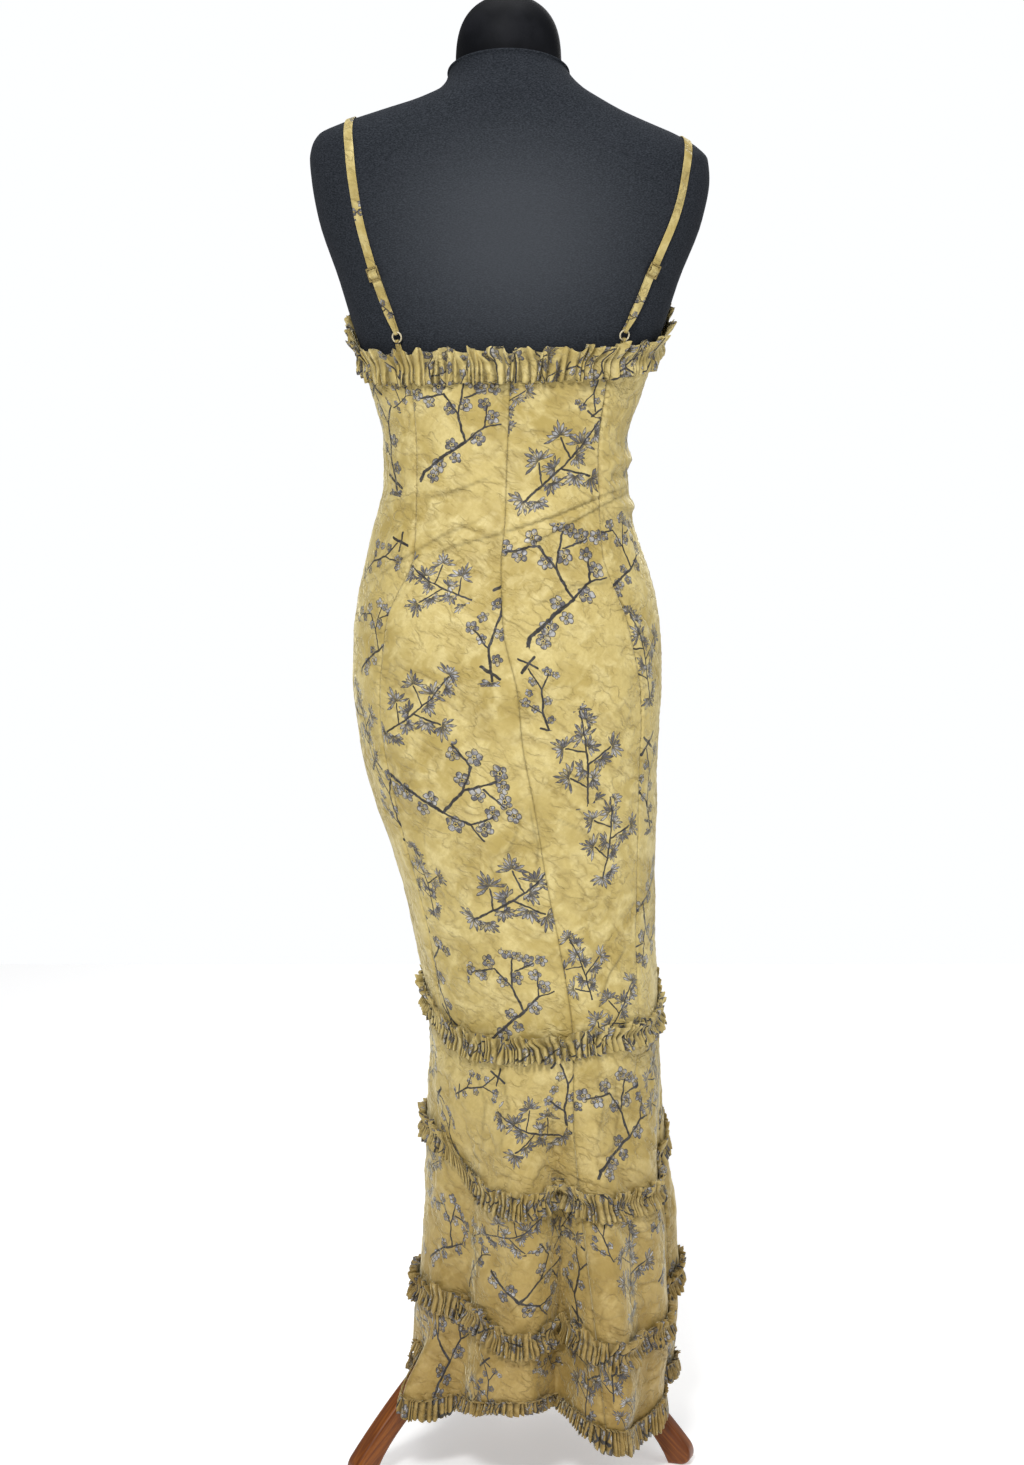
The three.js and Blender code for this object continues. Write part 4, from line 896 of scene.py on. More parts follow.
class PrintShapes:
    """The node groups that draw stems, blossoms and fans, as distances in millimetres."""

    leaf_half_width = 1.55
    leaf_step = math.radians(25)
    leaves_each_side = 4.4
    petal_step = math.radians(72)
    petal_place = 0.62
    petal_size = 0.38
    eye_size = 0.12
    blossom_spread = 1.15
    blossom_turn = 1.9
    leaf_spread = 1.2
    stem_spread = 1.15
    stem_line = 0.45

    def __init__(self) -> None:
        """Builds the three groups."""
        self.stem = self._stem()
        self.blossom = self._blossom()
        self.fan = self._fan()

    def _stem(self) -> bpy.types.NodeTree:
        """A straight stroke with round ends."""
        graph, given, taken = new_group(
            "print stem", {"Place": VECTOR, "Start": VECTOR, "Run": VECTOR, "Unit": VECTOR, "Half": NUMBER},
            {"Distance": NUMBER},
        )
        offset = graph.vector("SUBTRACT", given["Place"], given["Start"])
        share = graph.math("ADD", graph.vector("DOT_PRODUCT", offset, given["Unit"]), 0.0, clamp=True)
        nearest = graph.vector("SCALE", given["Run"], share)
        apart = graph.vector("DISTANCE", offset, nearest)
        graph.feed(taken["Distance"], graph.math("SUBTRACT", apart, given["Half"]))
        return graph.tree

    def _blossom(self) -> bpy.types.NodeTree:
        """A blossom of five separate round petals round a small eye."""
        graph, given, taken = new_group(
            "print blossom", {"Place": VECTOR, "Middle": VECTOR, "Radius": NUMBER, "Turn": NUMBER},
            {"Distance": NUMBER, "Line": NUMBER},
        )
        offset = graph.vector("SUBTRACT", given["Place"], given["Middle"])
        reach = graph.math("DIVIDE", graph.vector("LENGTH", offset), given["Radius"])
        parts = graph.node("ShaderNodeSeparateXYZ", {0: offset}).outputs
        angle = graph.math("ADD", graph.math("ARCTAN2", parts[1], parts[0]), given["Turn"])
        number = graph.math("ROUND", graph.math("DIVIDE", angle, self.petal_step))
        off = graph.math("SUBTRACT", angle, graph.times(number, self.petal_step))
        out = graph.math("SUBTRACT", graph.times(reach, graph.math("COSINE", off)), self.petal_place)
        aside = graph.times(reach, graph.math("SINE", off))
        apart = graph.node("ShaderNodeCombineXYZ", {0: out, 1: aside}).outputs[0]
        petal = graph.math("SUBTRACT", graph.vector("LENGTH", apart), self.petal_size)
        edge = graph.times(petal, given["Radius"])
        eye = graph.times(graph.math("SUBTRACT", reach, self.eye_size), given["Radius"])
        graph.feed(taken["Distance"], graph.math("MINIMUM", edge, eye))
        graph.feed(taken["Line"], graph.math("MINIMUM", graph.math("ABSOLUTE", edge), eye))
        return graph.tree

    def _fan(self) -> bpy.types.NodeTree:
        """Pointed leaves of uneven length that spread from one point."""
        graph, given, taken = new_group(
            "print fan", {"Place": VECTOR, "Middle": VECTOR, "Facing": NUMBER, "Length": NUMBER},
            {"Distance": NUMBER, "Line": NUMBER},
        )
        offset = graph.vector("SUBTRACT", given["Place"], given["Middle"])
        reach = graph.vector("LENGTH", offset)
        parts = graph.node("ShaderNodeSeparateXYZ", {0: offset}).outputs
        angle = graph.math("SUBTRACT", graph.math("ARCTAN2", parts[1], parts[0]), given["Facing"])
        angle = graph.math("WRAP", angle, math.pi, -math.pi)
        number = graph.math("ROUND", graph.math("DIVIDE", angle, self.leaf_step))
        off = graph.math("SUBTRACT", angle, graph.times(number, self.leaf_step))
        off = graph.math("ABSOLUTE", off)
        vary = graph.math("SINE", graph.math("MULTIPLY_ADD", number, 4.7, given["Facing"]))
        length = graph.times(graph.math("MULTIPLY_ADD", vary, 0.2, 0.82), given["Length"])
        share = graph.math("DIVIDE", graph.times(reach, graph.math("COSINE", off)), length)
        aside = graph.times(reach, graph.math("SINE", off))
        curve = graph.times(share, graph.math("SUBTRACT", 1.0, share))
        curve = graph.times(curve, graph.math("MULTIPLY_ADD", share, 0.85, 0.15))
        edge = graph.math("SUBTRACT", aside, graph.times(curve, 6.2 * self.leaf_half_width))
        outer = graph.math("GREATER_THAN", graph.math("ABSOLUTE", number), self.leaves_each_side)
        edge = graph.math("MULTIPLY_ADD", outer, 9.0, edge)
        vein = graph.math("MULTIPLY_ADD", aside, 2.4, 0.40)
        graph.feed(taken["Distance"], edge)
        graph.feed(taken["Line"], graph.math("MINIMUM", graph.math("ABSOLUTE", edge), vein))
        return graph.tree

    def draw(
        self, graph: Graph, place: Feed, strokes: Strokes,
    ) -> tuple[bpy.types.NodeSocket, bpy.types.NodeSocket]:
        """Draws a motif.

        Args:
            graph: Where its nodes go.
            place: The stamp's own coordinates in millimetres.
            strokes: The motif's parts.

        Returns:
            The distance to its outline, below zero inside, and the distance to its nearest line.
        """
        flowers = [
            graph.group(self.blossom, {
                "Place": place, "Middle": (x, y, 0), "Radius": radius * self.blossom_spread,
                "Turn": number * self.blossom_turn,
            }).outputs
            for number, (x, y, radius) in enumerate(strokes.blossoms)
        ]
        leaves = [
            graph.group(self.fan, {
                "Place": place, "Middle": (x, y, 0), "Facing": math.radians(facing),
                "Length": length * self.leaf_spread,
            }).outputs
            for x, y, facing, length in strokes.fans
        ]
        distances = [made["Distance"] for made in flowers + leaves]
        lines = [made["Line"] for made in flowers + leaves]
        for x, y, end_x, end_y, half in strokes.stems:
            run = Vector((end_x - x, end_y - y, 0))
            stroke = graph.group(self.stem, {
                "Place": place, "Start": (x, y, 0), "Run": tuple(run),
                "Unit": tuple(run / run.length_squared), "Half": half * self.stem_spread,
            }).outputs[0]
            distances.append(stroke)
            lines.append(graph.math("ADD", stroke, self.stem_line))
        outline = graph.least(distances)
        return outline, graph.math("MINIMUM", graph.least(lines), graph.math("ABSOLUTE", outline))


# ---------------------------------------------------------------- finishes


@dataclass(frozen=True)
class PrintedSatin:
    """Brushed golden cloth with a nap, clouded and crushed, with a grey-blue print, and painted shade in its
    creases, seams and pleat gaps and towards the hem.
    """

    light: tuple[float, ...] = (0.780, 0.655, 0.300, 1)
    middle: tuple[float, ...] = (0.655, 0.525, 0.202, 1)
    dark: tuple[float, ...] = (0.480, 0.362, 0.108, 1)
    # Painted shade colour in the crush wrinkles.
    painted_crease_shade: tuple[float, ...] = (0.330, 0.235, 0.066, 1)
    # Painted shade colour, multiplied in darker and browner towards the hem.
    wear_and_painted_light: tuple[float, ...] = (0.56, 0.445, 0.31, 1)
    # Painted shade colour, mixed in by the fold attribute.
    shade: tuple[float, ...] = (0.026, 0.017, 0.007, 1)
    outline: tuple[float, ...] = (0.022, 0.021, 0.022, 1)
    slate: tuple[float, ...] = (0.125, 0.120, 0.128, 1)
    silver: tuple[float, ...] = (0.50, 0.49, 0.48, 1)

    @staticmethod
    def _strokes(graph: Graph, place: Feed, degrees: float, scale: float) -> bpy.types.NodeSocket:
        """Brush marks in the nap, long in one direction."""
        return graph.noise(graph.stretched(place, (0, degrees, 0), (1.0, 0.7, 0.4)), scale, 4, 0.5)

    @staticmethod
    def _wrinkles(graph: Graph, place: Feed, scale: float) -> bpy.types.NodeSocket:
        """Thin wandering lines where the cloth was crushed, fading in and out."""
        slanting = graph.stretched(place, (0, 28, 0), (0.62, 1.0, 1.25))
        level = graph.math("ABSOLUTE", graph.math("SUBTRACT", graph.noise(slanting, scale, 3, 0.25), 0.5))
        both = graph.times(graph.share(level, 0.085, 0.0), 0.7)
        both = graph.math("MULTIPLY_ADD", graph.share(level, 0.022, 0.0), 0.3, both)
        return graph.times(both, graph.share(graph.noise(place, scale * 0.6, 2), 0.34, 0.58))

    def _ground(self) -> bpy.types.NodeTree:
        """The unprinted cloth: its colour, roughness and normal."""
        graph, given, taken = new_group(
            "satin ground", {"Place": VECTOR}, {"Colour": COLOUR, "Roughness": NUMBER, "Normal": VECTOR},
        )
        place = given["Place"]
        clouds = graph.noise(place, 13, 4, 0.5)
        pick = graph.share(graph.noise(place, 21, 2), 0.44, 0.56)
        first, second = self._strokes(graph, place, 38, 190), self._strokes(graph, place, -47, 165)
        strokes = graph.node("ShaderNodeMix", {0: pick, 2: first, 3: second}).outputs[0]
        colour = graph.mixed(graph.share(clouds, 0.34, 0.60), self.dark, self.middle)
        patches = graph.noise(place, 42, 3, 0.8)
        pale = graph.math("MULTIPLY_ADD", patches, 0.75, graph.times(strokes, 0.25))
        pale = graph.times(graph.share(pale, 0.42, 0.66), 0.85)
        colour = graph.mixed(pale, colour, self.light)
        marks = graph.times(graph.share(strokes, 0.50, 0.36), 0.16)
        colour = graph.mixed(marks, colour, self.dark)
        # Painted shade: the crush wrinkles darken the colour, besides sinking the bump.
        wrinkles = self._wrinkles(graph, place, 24)
        finer = self._wrinkles(graph, place, 66)
        painted_crease_shade = graph.math("MULTIPLY_ADD", finer, 0.30, graph.times(wrinkles, 0.44))
        colour = graph.mixed(painted_crease_shade, colour, self.painted_crease_shade)
        grain = graph.times(graph.share(graph.noise(place, 330, 3), 0.36, 0.68), 0.26)
        colour = graph.mixed(grain, colour, self.dark)
        # Painted shade: the cloth darkens and browns towards the hem.
        height = graph.node("ShaderNodeSeparateXYZ", {0: place}).outputs[2]
        low = graph.times(graph.share(height, 0.60, 0.06), 0.85)
        colour = graph.mixed(low, colour, self.wear_and_painted_light, "MULTIPLY")
        fibre = graph.noise(place, 1100, 2)
        colour = graph.mixed(graph.times(graph.share(fibre, 0.4, 0.7), 0.12), colour, self.dark)
        crush = graph.noise(place, 34, 3, 0.5, "RIDGED_MULTIFRACTAL")
        relief = graph.math("MULTIPLY_ADD", crush, 0.45, graph.math("MULTIPLY_ADD", strokes, 0.6, patches))
        relief = graph.math("MULTIPLY_ADD", painted_crease_shade, -2.0, relief)
        weave = graph.bump(fibre, 0.3, 0.0003, graph.bump(relief, 0.75, 0.0022))
        graph.feed(taken["Colour"], colour)
        graph.feed(taken["Roughness"], graph.math("MULTIPLY_ADD", strokes, -0.2, 0.64))
        graph.feed(taken["Normal"], weave)
        return graph.tree

    def materials(self) -> list[bpy.types.Material]:
        """The plain cloth and one printed cloth for each motif, in their order on a piece."""
        ground, shapes = self._ground(), PrintShapes()
        made = []
        for motif in (None, *Motif):
            material, graph = new_material(f"satin {motif.name.lower() if motif else 'plain'}")
            place = graph.place()
            base = graph.group(ground, {"Place": place}).outputs
            colour, roughness, metal = base["Colour"], base["Roughness"], 0.0
            if motif:
                colour, roughness, metal = self._printed(graph, shapes, motif, place, colour, roughness)
            # Painted shade: the fold attribute darkens pleat gaps, crease lines, seams and straps towards the
            # shade colour.
            fold = graph.times(graph.attribute("fold")["Fac"], 0.93)
            graph.surface({
                "Base Color": graph.mixed(fold, colour, self.shade), "Roughness": roughness,
                "Metallic": metal, "Normal": base["Normal"], "Specular IOR Level": 0.35,
                "Sheen Weight": 0.65, "Sheen Roughness": 0.34, "Sheen Tint": (0.98, 0.90, 0.60, 1),
            })
            made.append(material)
        return made

    def _printed(self, graph: Graph, shapes: PrintShapes, motif: Motif, place: Feed, colour: Feed,
                 roughness: Feed) -> tuple[bpy.types.NodeSocket, bpy.types.NodeSocket, bpy.types.NodeSocket]:
        """Lays a motif over the cloth's colour, roughness and metallic share."""
        stamp = graph.attribute("stamp")["Vector"]
        wobble = graph.node("ShaderNodeTexNoise", {"Vector": place, "Scale": 110.0, "Detail": 2.0}).outputs[1]
        wobble = graph.vector("SCALE", graph.vector("SUBTRACT", wobble, (0.5, 0.5, 0.5)), 4.0)
        flat = graph.vector("MULTIPLY", graph.vector("ADD", stamp, wobble), (1.0, 1.0, 0.0))
        outline, line = shapes.draw(graph, flat, MOTIFS[motif])
        inside = graph.share(outline, 0.45, -0.15)
        # Silver patches in the ink: partly its own silvery tone, partly painted highlight.
        shine = graph.noise(place, 130, 3, 0.8)
        ink = graph.mixed(graph.share(shine, 0.42, 0.66), self.slate, self.silver)
        wear_and_painted_light = graph.times(graph.share(graph.noise(place, 260, 2), 0.52, 0.62), 0.6)
        ink = graph.mixed(wear_and_painted_light, ink, colour)
        ink = graph.mixed(graph.times(graph.share(line, 0.62, 0.20), 0.9), ink, self.outline)
        printed = graph.mixed(inside, colour, ink)
        rough = graph.math("MULTIPLY_ADD", inside, -0.1, roughness)
        return printed, rough, graph.times(inside, 0.12)


@dataclass(frozen=True)
class Jersey:
    """Matt charcoal knit stretched over the form, with a painted highlight across the middle of the back."""

    dark: tuple[float, ...] = (0.012, 0.0145, 0.0185, 1)
    light: tuple[float, ...] = (0.036, 0.041, 0.050, 1)
    painted_highlight: tuple[float, ...] = (0.068, 0.074, 0.084, 1)
    painted_light_middle: tuple[float, ...] = (0, 0.1, 1.27)

    def material(self) -> bpy.types.Material:
        """The jersey's material."""
        material, graph = new_material("jersey")
        place = graph.place()
        knit = graph.noise(graph.vector("MULTIPLY", place, (1.0, 1.0, 2.6)), 520, 3, 0.3)
        colour = graph.mixed(graph.share(knit, 0.35, 0.7), self.dark, self.light)
        # Painted highlight: the jersey is lighter round the middle of the back.
        apart = graph.vector("SUBTRACT", place, self.painted_light_middle)
        apart = graph.vector("LENGTH", graph.vector("MULTIPLY", apart, (6.2, 5.0, 7.5)))
        wear_and_painted_light = graph.share(apart, 1.15, 0.1)
        colour = graph.mixed(graph.times(wear_and_painted_light, 0.62), colour, self.painted_highlight)
        graph.surface({
            "Base Color": colour, "Roughness": 0.92, "Normal": graph.bump(knit, 0.5, 0.0005),
            "Sheen Weight": 0.02, "Sheen Roughness": 0.5, "Sheen Tint": (0.8, 0.85, 0.95, 1),
            "Specular IOR Level": 0.1,
        })
        return material


@dataclass(frozen=True)
class SmoothCover:
    """The black cover of the neck, closer and smoother than the jersey."""

    colour: tuple[float, ...] = (0.0035, 0.004, 0.0055, 1)
    lighter: tuple[float, ...] = (0.008, 0.0085, 0.011, 1)

    def material(self) -> bpy.types.Material:
        """The cover's material."""
        material, graph = new_material("neck cover")
        place = graph.place()
        patches = graph.share(graph.noise(place, 30, 3), 0.4, 0.7)
        graph.surface({
            "Base Color": graph.mixed(patches, self.colour, self.lighter), "Roughness": 0.6,
            "Normal": graph.bump(graph.noise(place, 700, 3), 0.25, 0.0003), "Specular IOR Level": 0.1,
        })
        return material


@dataclass(frozen=True)
class Wood:
    """Reddish brown varnished wood with its grain along one direction of the plan."""

    heading: float
    red: tuple[float, ...] = (0.240, 0.068, 0.006, 1)
    brown: tuple[float, ...] = (0.135, 0.034, 0.004, 1)
    pale: tuple[float, ...] = (0.350, 0.120, 0.012, 1)

    def material(self, name: str, rise: float = 45.0) -> bpy.types.Material:
        """The wood's material.

        Args:
            name: What the piece is.
            rise: How steeply its grain climbs towards the pole, in degrees.

        Returns:
            The material.
        """
        material, graph = new_material(f"wood {name}")
        level = graph.node("ShaderNodeMapping", {"Vector": graph.place(), "Rotation": (0, 0, -self.heading)})
        lying = graph.node("ShaderNodeMapping", {
            "Vector": level.outputs[0], "Rotation": (0, -math.radians(rise), 0),
        })
        long = graph.vector("MULTIPLY", lying.outputs[0], (0.07, 1.0, 1.0))
        rings = graph.noise(long, 170, 5, 1.2)
        pores = graph.noise(graph.vector("MULTIPLY", lying.outputs[0], (0.03, 1.0, 1.0)), 900, 2)
        colour = graph.mixed(graph.share(rings, 0.36, 0.62), self.brown, self.red)
        colour = graph.mixed(graph.times(graph.share(rings, 0.58, 0.75), 0.7), colour, self.pale)
        colour = graph.mixed(graph.times(graph.share(pores, 0.62, 0.75), 0.6), colour, self.brown)
        graph.surface({
            "Base Color": colour, "Roughness": graph.math("MULTIPLY_ADD", rings, 0.2, 0.28),
            "Normal": graph.bump(pores, 0.2, 0.0004), "Coat Weight": 0.12, "Coat Roughness": 0.22,
            "Specular IOR Level": 0.3,
        })
        return material


@dataclass(frozen=True)
class Trim:
    """A small hard fitting: a slider or a ring."""

    name: str
    colour: tuple[float, ...]
    wear_and_painted_light: tuple[float, ...]
    metal: float
    rough: float

    def material(self) -> bpy.types.Material:
        """The fitting's material."""
        material, graph = new_material(self.name)
        wear = graph.noise(graph.place(), 600, 3)
        graph.surface({
            "Base Color": graph.mixed(graph.share(wear, 0.4, 0.68), self.colour, self.wear_and_painted_light),
            "Metallic": self.metal, "Normal": graph.bump(wear, 0.15, 0.0002),
            "Roughness": graph.math("MULTIPLY_ADD", wear, 0.25, self.rough),
        })
        return material


# ---------------------------------------------------------------- the dress


def fixed(angle: float) -> Callable[[Values], Values]:
    """A seam that keeps one angle at every height."""
    return lambda z: np.full(np.shape(z), angle)


@dataclass
class Dress:
    """The cloth pieces of the dress."""

    figure: Figure
    materials: list[bpy.types.Material]
    wall: float = 2.4
    thickness: float = 0.8
    seam: float = 0.15
    row_seam: float = 0.5
    seam_sink: float = 1.5
    seam_reach: float = 1.8
    pucker: float = 0.55
    pucker_length: float = 9.0
    pucker_reach: float = 9.0
    # Painted shade along each seam, carried by the fold attribute.
    seam_painted_shade: float = 0.5
    seam_shade_reach: float = 0.8
    fine_step: float = 2.5
    coarse_step: float = 4.6
    fewest_rows: int = 8
    samples: int = 60
    beside_seam: tuple[float, ...] = (0.0, 0.7, 1.5, 2.5, 4.0, 6.0)
    deepest: float = -1.6
    highest: float = 7.0
    skirt_from: float = 520
    skirt_fade: float = 60
    skirt_looser: float = 0.9
    crumple: Crumple = field(default_factory=Crumple)
    repeat: Repeat = field(default_factory=Repeat)

    def build(self) -> None:
        """Builds the panels, the tiers and the ruffles."""
        self._panels()
        self._tiers()
        for ruffle in RUFFLES:
            self._ruffle(ruffle)

    def _seam(self, name: str) -> Callable[[Values], Values]:
        """A back seam as an angle by height."""
        return lambda z: self.figure.angle_at(BACK_SEAMS[name].at("x", z), z)

    def _panels(self) -> None:
        """The five panels from the first ruffle row to the top edge."""
        left, right = SIDE_ANGLES["panel_left"], SIDE_ANGLES["panel_right"]
        seams = {
            "back_left": (self._seam("centre"), self._seam("left")),
            "back_right": (self._seam("right"), self._seam("centre")),
            "side_left": (self._seam("left"), fixed(left)),
            "side_right": (fixed(right), self._seam("right")),
            "front": (fixed(left), fixed(right + 360)),
        }
        for seed, (name, (start, end)) in enumerate(seams.items()):
            self._sheet(name, start, end, ("row1", "top"), (self.row_seam, 0.0), seed)

    def _tiers(self) -> None:
        """The three pieces of each of the three tiers."""
        left, right = SIDE_ANGLES["tier_left"], SIDE_ANGLES["tier_right"]
        edges = ("row1", "row2", "row3", "hem")
        centre = self._seam("centre")
        spans = {
            "back_left": (centre, fixed(left)),
            "back_right": (fixed(right), centre),
            "front": (fixed(left), fixed(right + 360)),
        }
        for tier in range(3):
            lift = HEM_DEPTH - HEM_RISE - HEM_CLEAR if tier == 2 else 0.0
            levels = (edges[tier + 1], edges[tier])
            gaps = (self.row_seam + lift, -self.row_seam)
            for number, (side, (start, end)) in enumerate(spans.items()):
                self._sheet(f"tier{tier + 1}_{side}", start, end, levels, gaps, 10 + 3 * tier + number)

    def _sheet(self, name: str, start: Callable[[Values], Values], end: Callable[[Values], Values],
               levels: tuple[str, str], gaps: tuple[float, float], seed: int) -> None:
        """Builds one cut piece.

        Args:
            name: The node it stands for.
            start: The seam with the lower angle, by height.
            end: The seam with the higher angle, by height.
            levels: The names of its lower and upper edges.
            gaps: How far its cloth starts above each edge.
            seed: Which piece it is.
        """
        step = self.coarse_step if name.endswith("front") else self.fine_step
        guess = float(self.figure.level(levels[0], 0) + self.figure.level(levels[1], 0)) / 2
        first, last = (float(seam(np.array([guess]))[0]) for seam in (start, end))
        sweep = np.linspace(first, last, self.samples)
        path = self.figure.outside(sweep, np.full(self.samples, guess), self.wall)
        width = np.linalg.norm(np.diff(path, axis=0), axis=1).sum()
        middle = (first + last) / 2
        height = float(self.figure.level(levels[1], middle) - self.figure.level(levels[0], middle))
        columns = self._near_edges(int(width / step), width)
        rows = np.linspace(0, 1, max(self.fewest_rows, int(height / step)) + 1)
        share, rise = np.meshgrid(columns, rows, indexing="ij")
        z = np.full(share.shape, guess)
        angle = np.zeros(share.shape)
        for _ in range(3):
            angle = start(z) + (end(z) - start(z)) * (1 - share)
            low = self.figure.level(levels[0], angle) + gaps[0]
            high = self.figure.level(levels[1], angle) + gaps[1]
            z = low + (high - low) * rise
        base = self.figure.outside(angle, z, np.full(z.shape, self.wall))
        relief, lines = self._relief(base, np.minimum(share, 1 - share) * width, z, seed)
        points = self.figure.outside(angle, z, self.wall + relief)
        cloth = ClothMesh(f"cloth_{name}", points, ClothMesh.lay(name, base).flat, lines)
        piece = cloth.build()
        stamps, places = self._stamps(name, cloth, seed)
        print_on(piece, stamps, places)
        self._finish(piece, name)

    def _near_edges(self, count: int, width: float) -> Values:
        """Column shares that crowd beside the two seams, where the cloth turns in."""
        near = np.array(self.beside_seam) / width
        inner = np.linspace(near[-1], 1 - near[-1], max(len(near), count))
        return np.concatenate([near[:-1], inner, 1 - near[:-1][::-1]])

    def _relief(self, points: Values, edge: Values, z: Values, seed: int) -> tuple[Values, Values]:
        """How far seams, creases and crumples move the cloth out, and their painted shade lines.

        Args:
            points: The smooth cloth.
            edge: The distance from the nearer seam.
            z: The heights.
            seed: Which piece it is.

        Returns:
            A signed distance and a share from 0 to 1 for each point.
        """
        flat = points.reshape(-1, 3)
        looser = 1 + self.skirt_looser * smooth((self.skirt_from - flat[:, 2]) / self.skirt_fade)
        total, lines = self.crumple.relief(flat) * looser, np.zeros(len(flat))
        for crease in CREASES:
            moved, line = crease.relief(flat)
            total += moved
            lines = np.maximum(lines, line)
        total, lines = total.reshape(z.shape), lines.reshape(z.shape)
        wander = np.sin(z / 37 + seed) * 1.7 + np.sin(z / 83 + 2 * seed) * 2.3
        ripple = np.sin(2 * np.pi * z / self.pucker_length + wander)
        total = np.clip(total, self.deepest, self.highest) * smooth(edge / 4)
        total += self.pucker * ripple * np.exp(-edge / self.pucker_reach) * smooth(edge / 2)
        # Painted shade along the seam.
        seam_shade = self.seam_painted_shade * np.exp(-((edge / self.seam_shade_reach) ** 2)) * (0.8 + 0.2 * ripple)
        relief = total - self.seam_sink * np.exp(-((edge / self.seam_reach) ** 2))
        return relief, np.maximum(lines, seam_shade)

    def _stamps(
        self, name: str, cloth: ClothMesh, seed: int,
    ) -> tuple[list[Stamp], list[tuple[float, float]]]:
        """The stamps on one piece and where they lie in its own coordinates."""
        if name not in BACK_STAMPS:
            width = float(np.abs(cloth.flat[..., 0]).max())
            stamps = self.repeat.stamps(width, float(cloth.flat[..., 1].max()), seed)
            return stamps, [(stamp.x, stamp.z) for stamp in stamps]
        seen = cloth.points.reshape(-1, 3)[:, [0, 2]]
        flat = cloth.flat.reshape(-1, 2)
        places = []
        for stamp in BACK_STAMPS[name]:
            offset = np.array([stamp.x, stamp.z]) - seen
            nearest = int(np.argmin(np.hypot(*offset.T)))
            place = flat[nearest] + offset[nearest] * (-1, 1)
            places.append((float(place[0]), float(place[1])))
        return list(BACK_STAMPS[name]), places

    def _finish(self, piece: bpy.types.Object, node: str) -> None:
        """Gives a sheet its materials and thickness, and rides it on the body in place of its node."""
        for material in self.materials:
            piece.data.materials.append(material)
        stiffen(piece, self.thickness)
        claim(piece, node)

    def _ruffle(self, ruffle: Ruffle) -> None:
        """Builds one gathered strip all the way round."""
        cloth = ruffle.cloth(self.figure, self.wall)
        piece = cloth.build(closed=True)
        chance = random.Random(ruffle.seed)
        length = float(np.abs(cloth.flat[..., 0]).max())
        place, stamps, places = -length, [], []
        motifs = (BLOSSOM, LEAVES, BLOSSOM, TWIG)
        while place < length:
            motif = chance.choice(motifs)
            stamps.append(Stamp(motif, 0, 0, chance.uniform(0, 360), chance.uniform(0.62, 0.95)))
            places.append((place, chance.uniform(0.2, 0.8) * (ruffle.below + ruffle.above)))
            place += chance.uniform(45, 120)
        print_on(piece, stamps, places)
        self._finish(piece, ruffle.name)


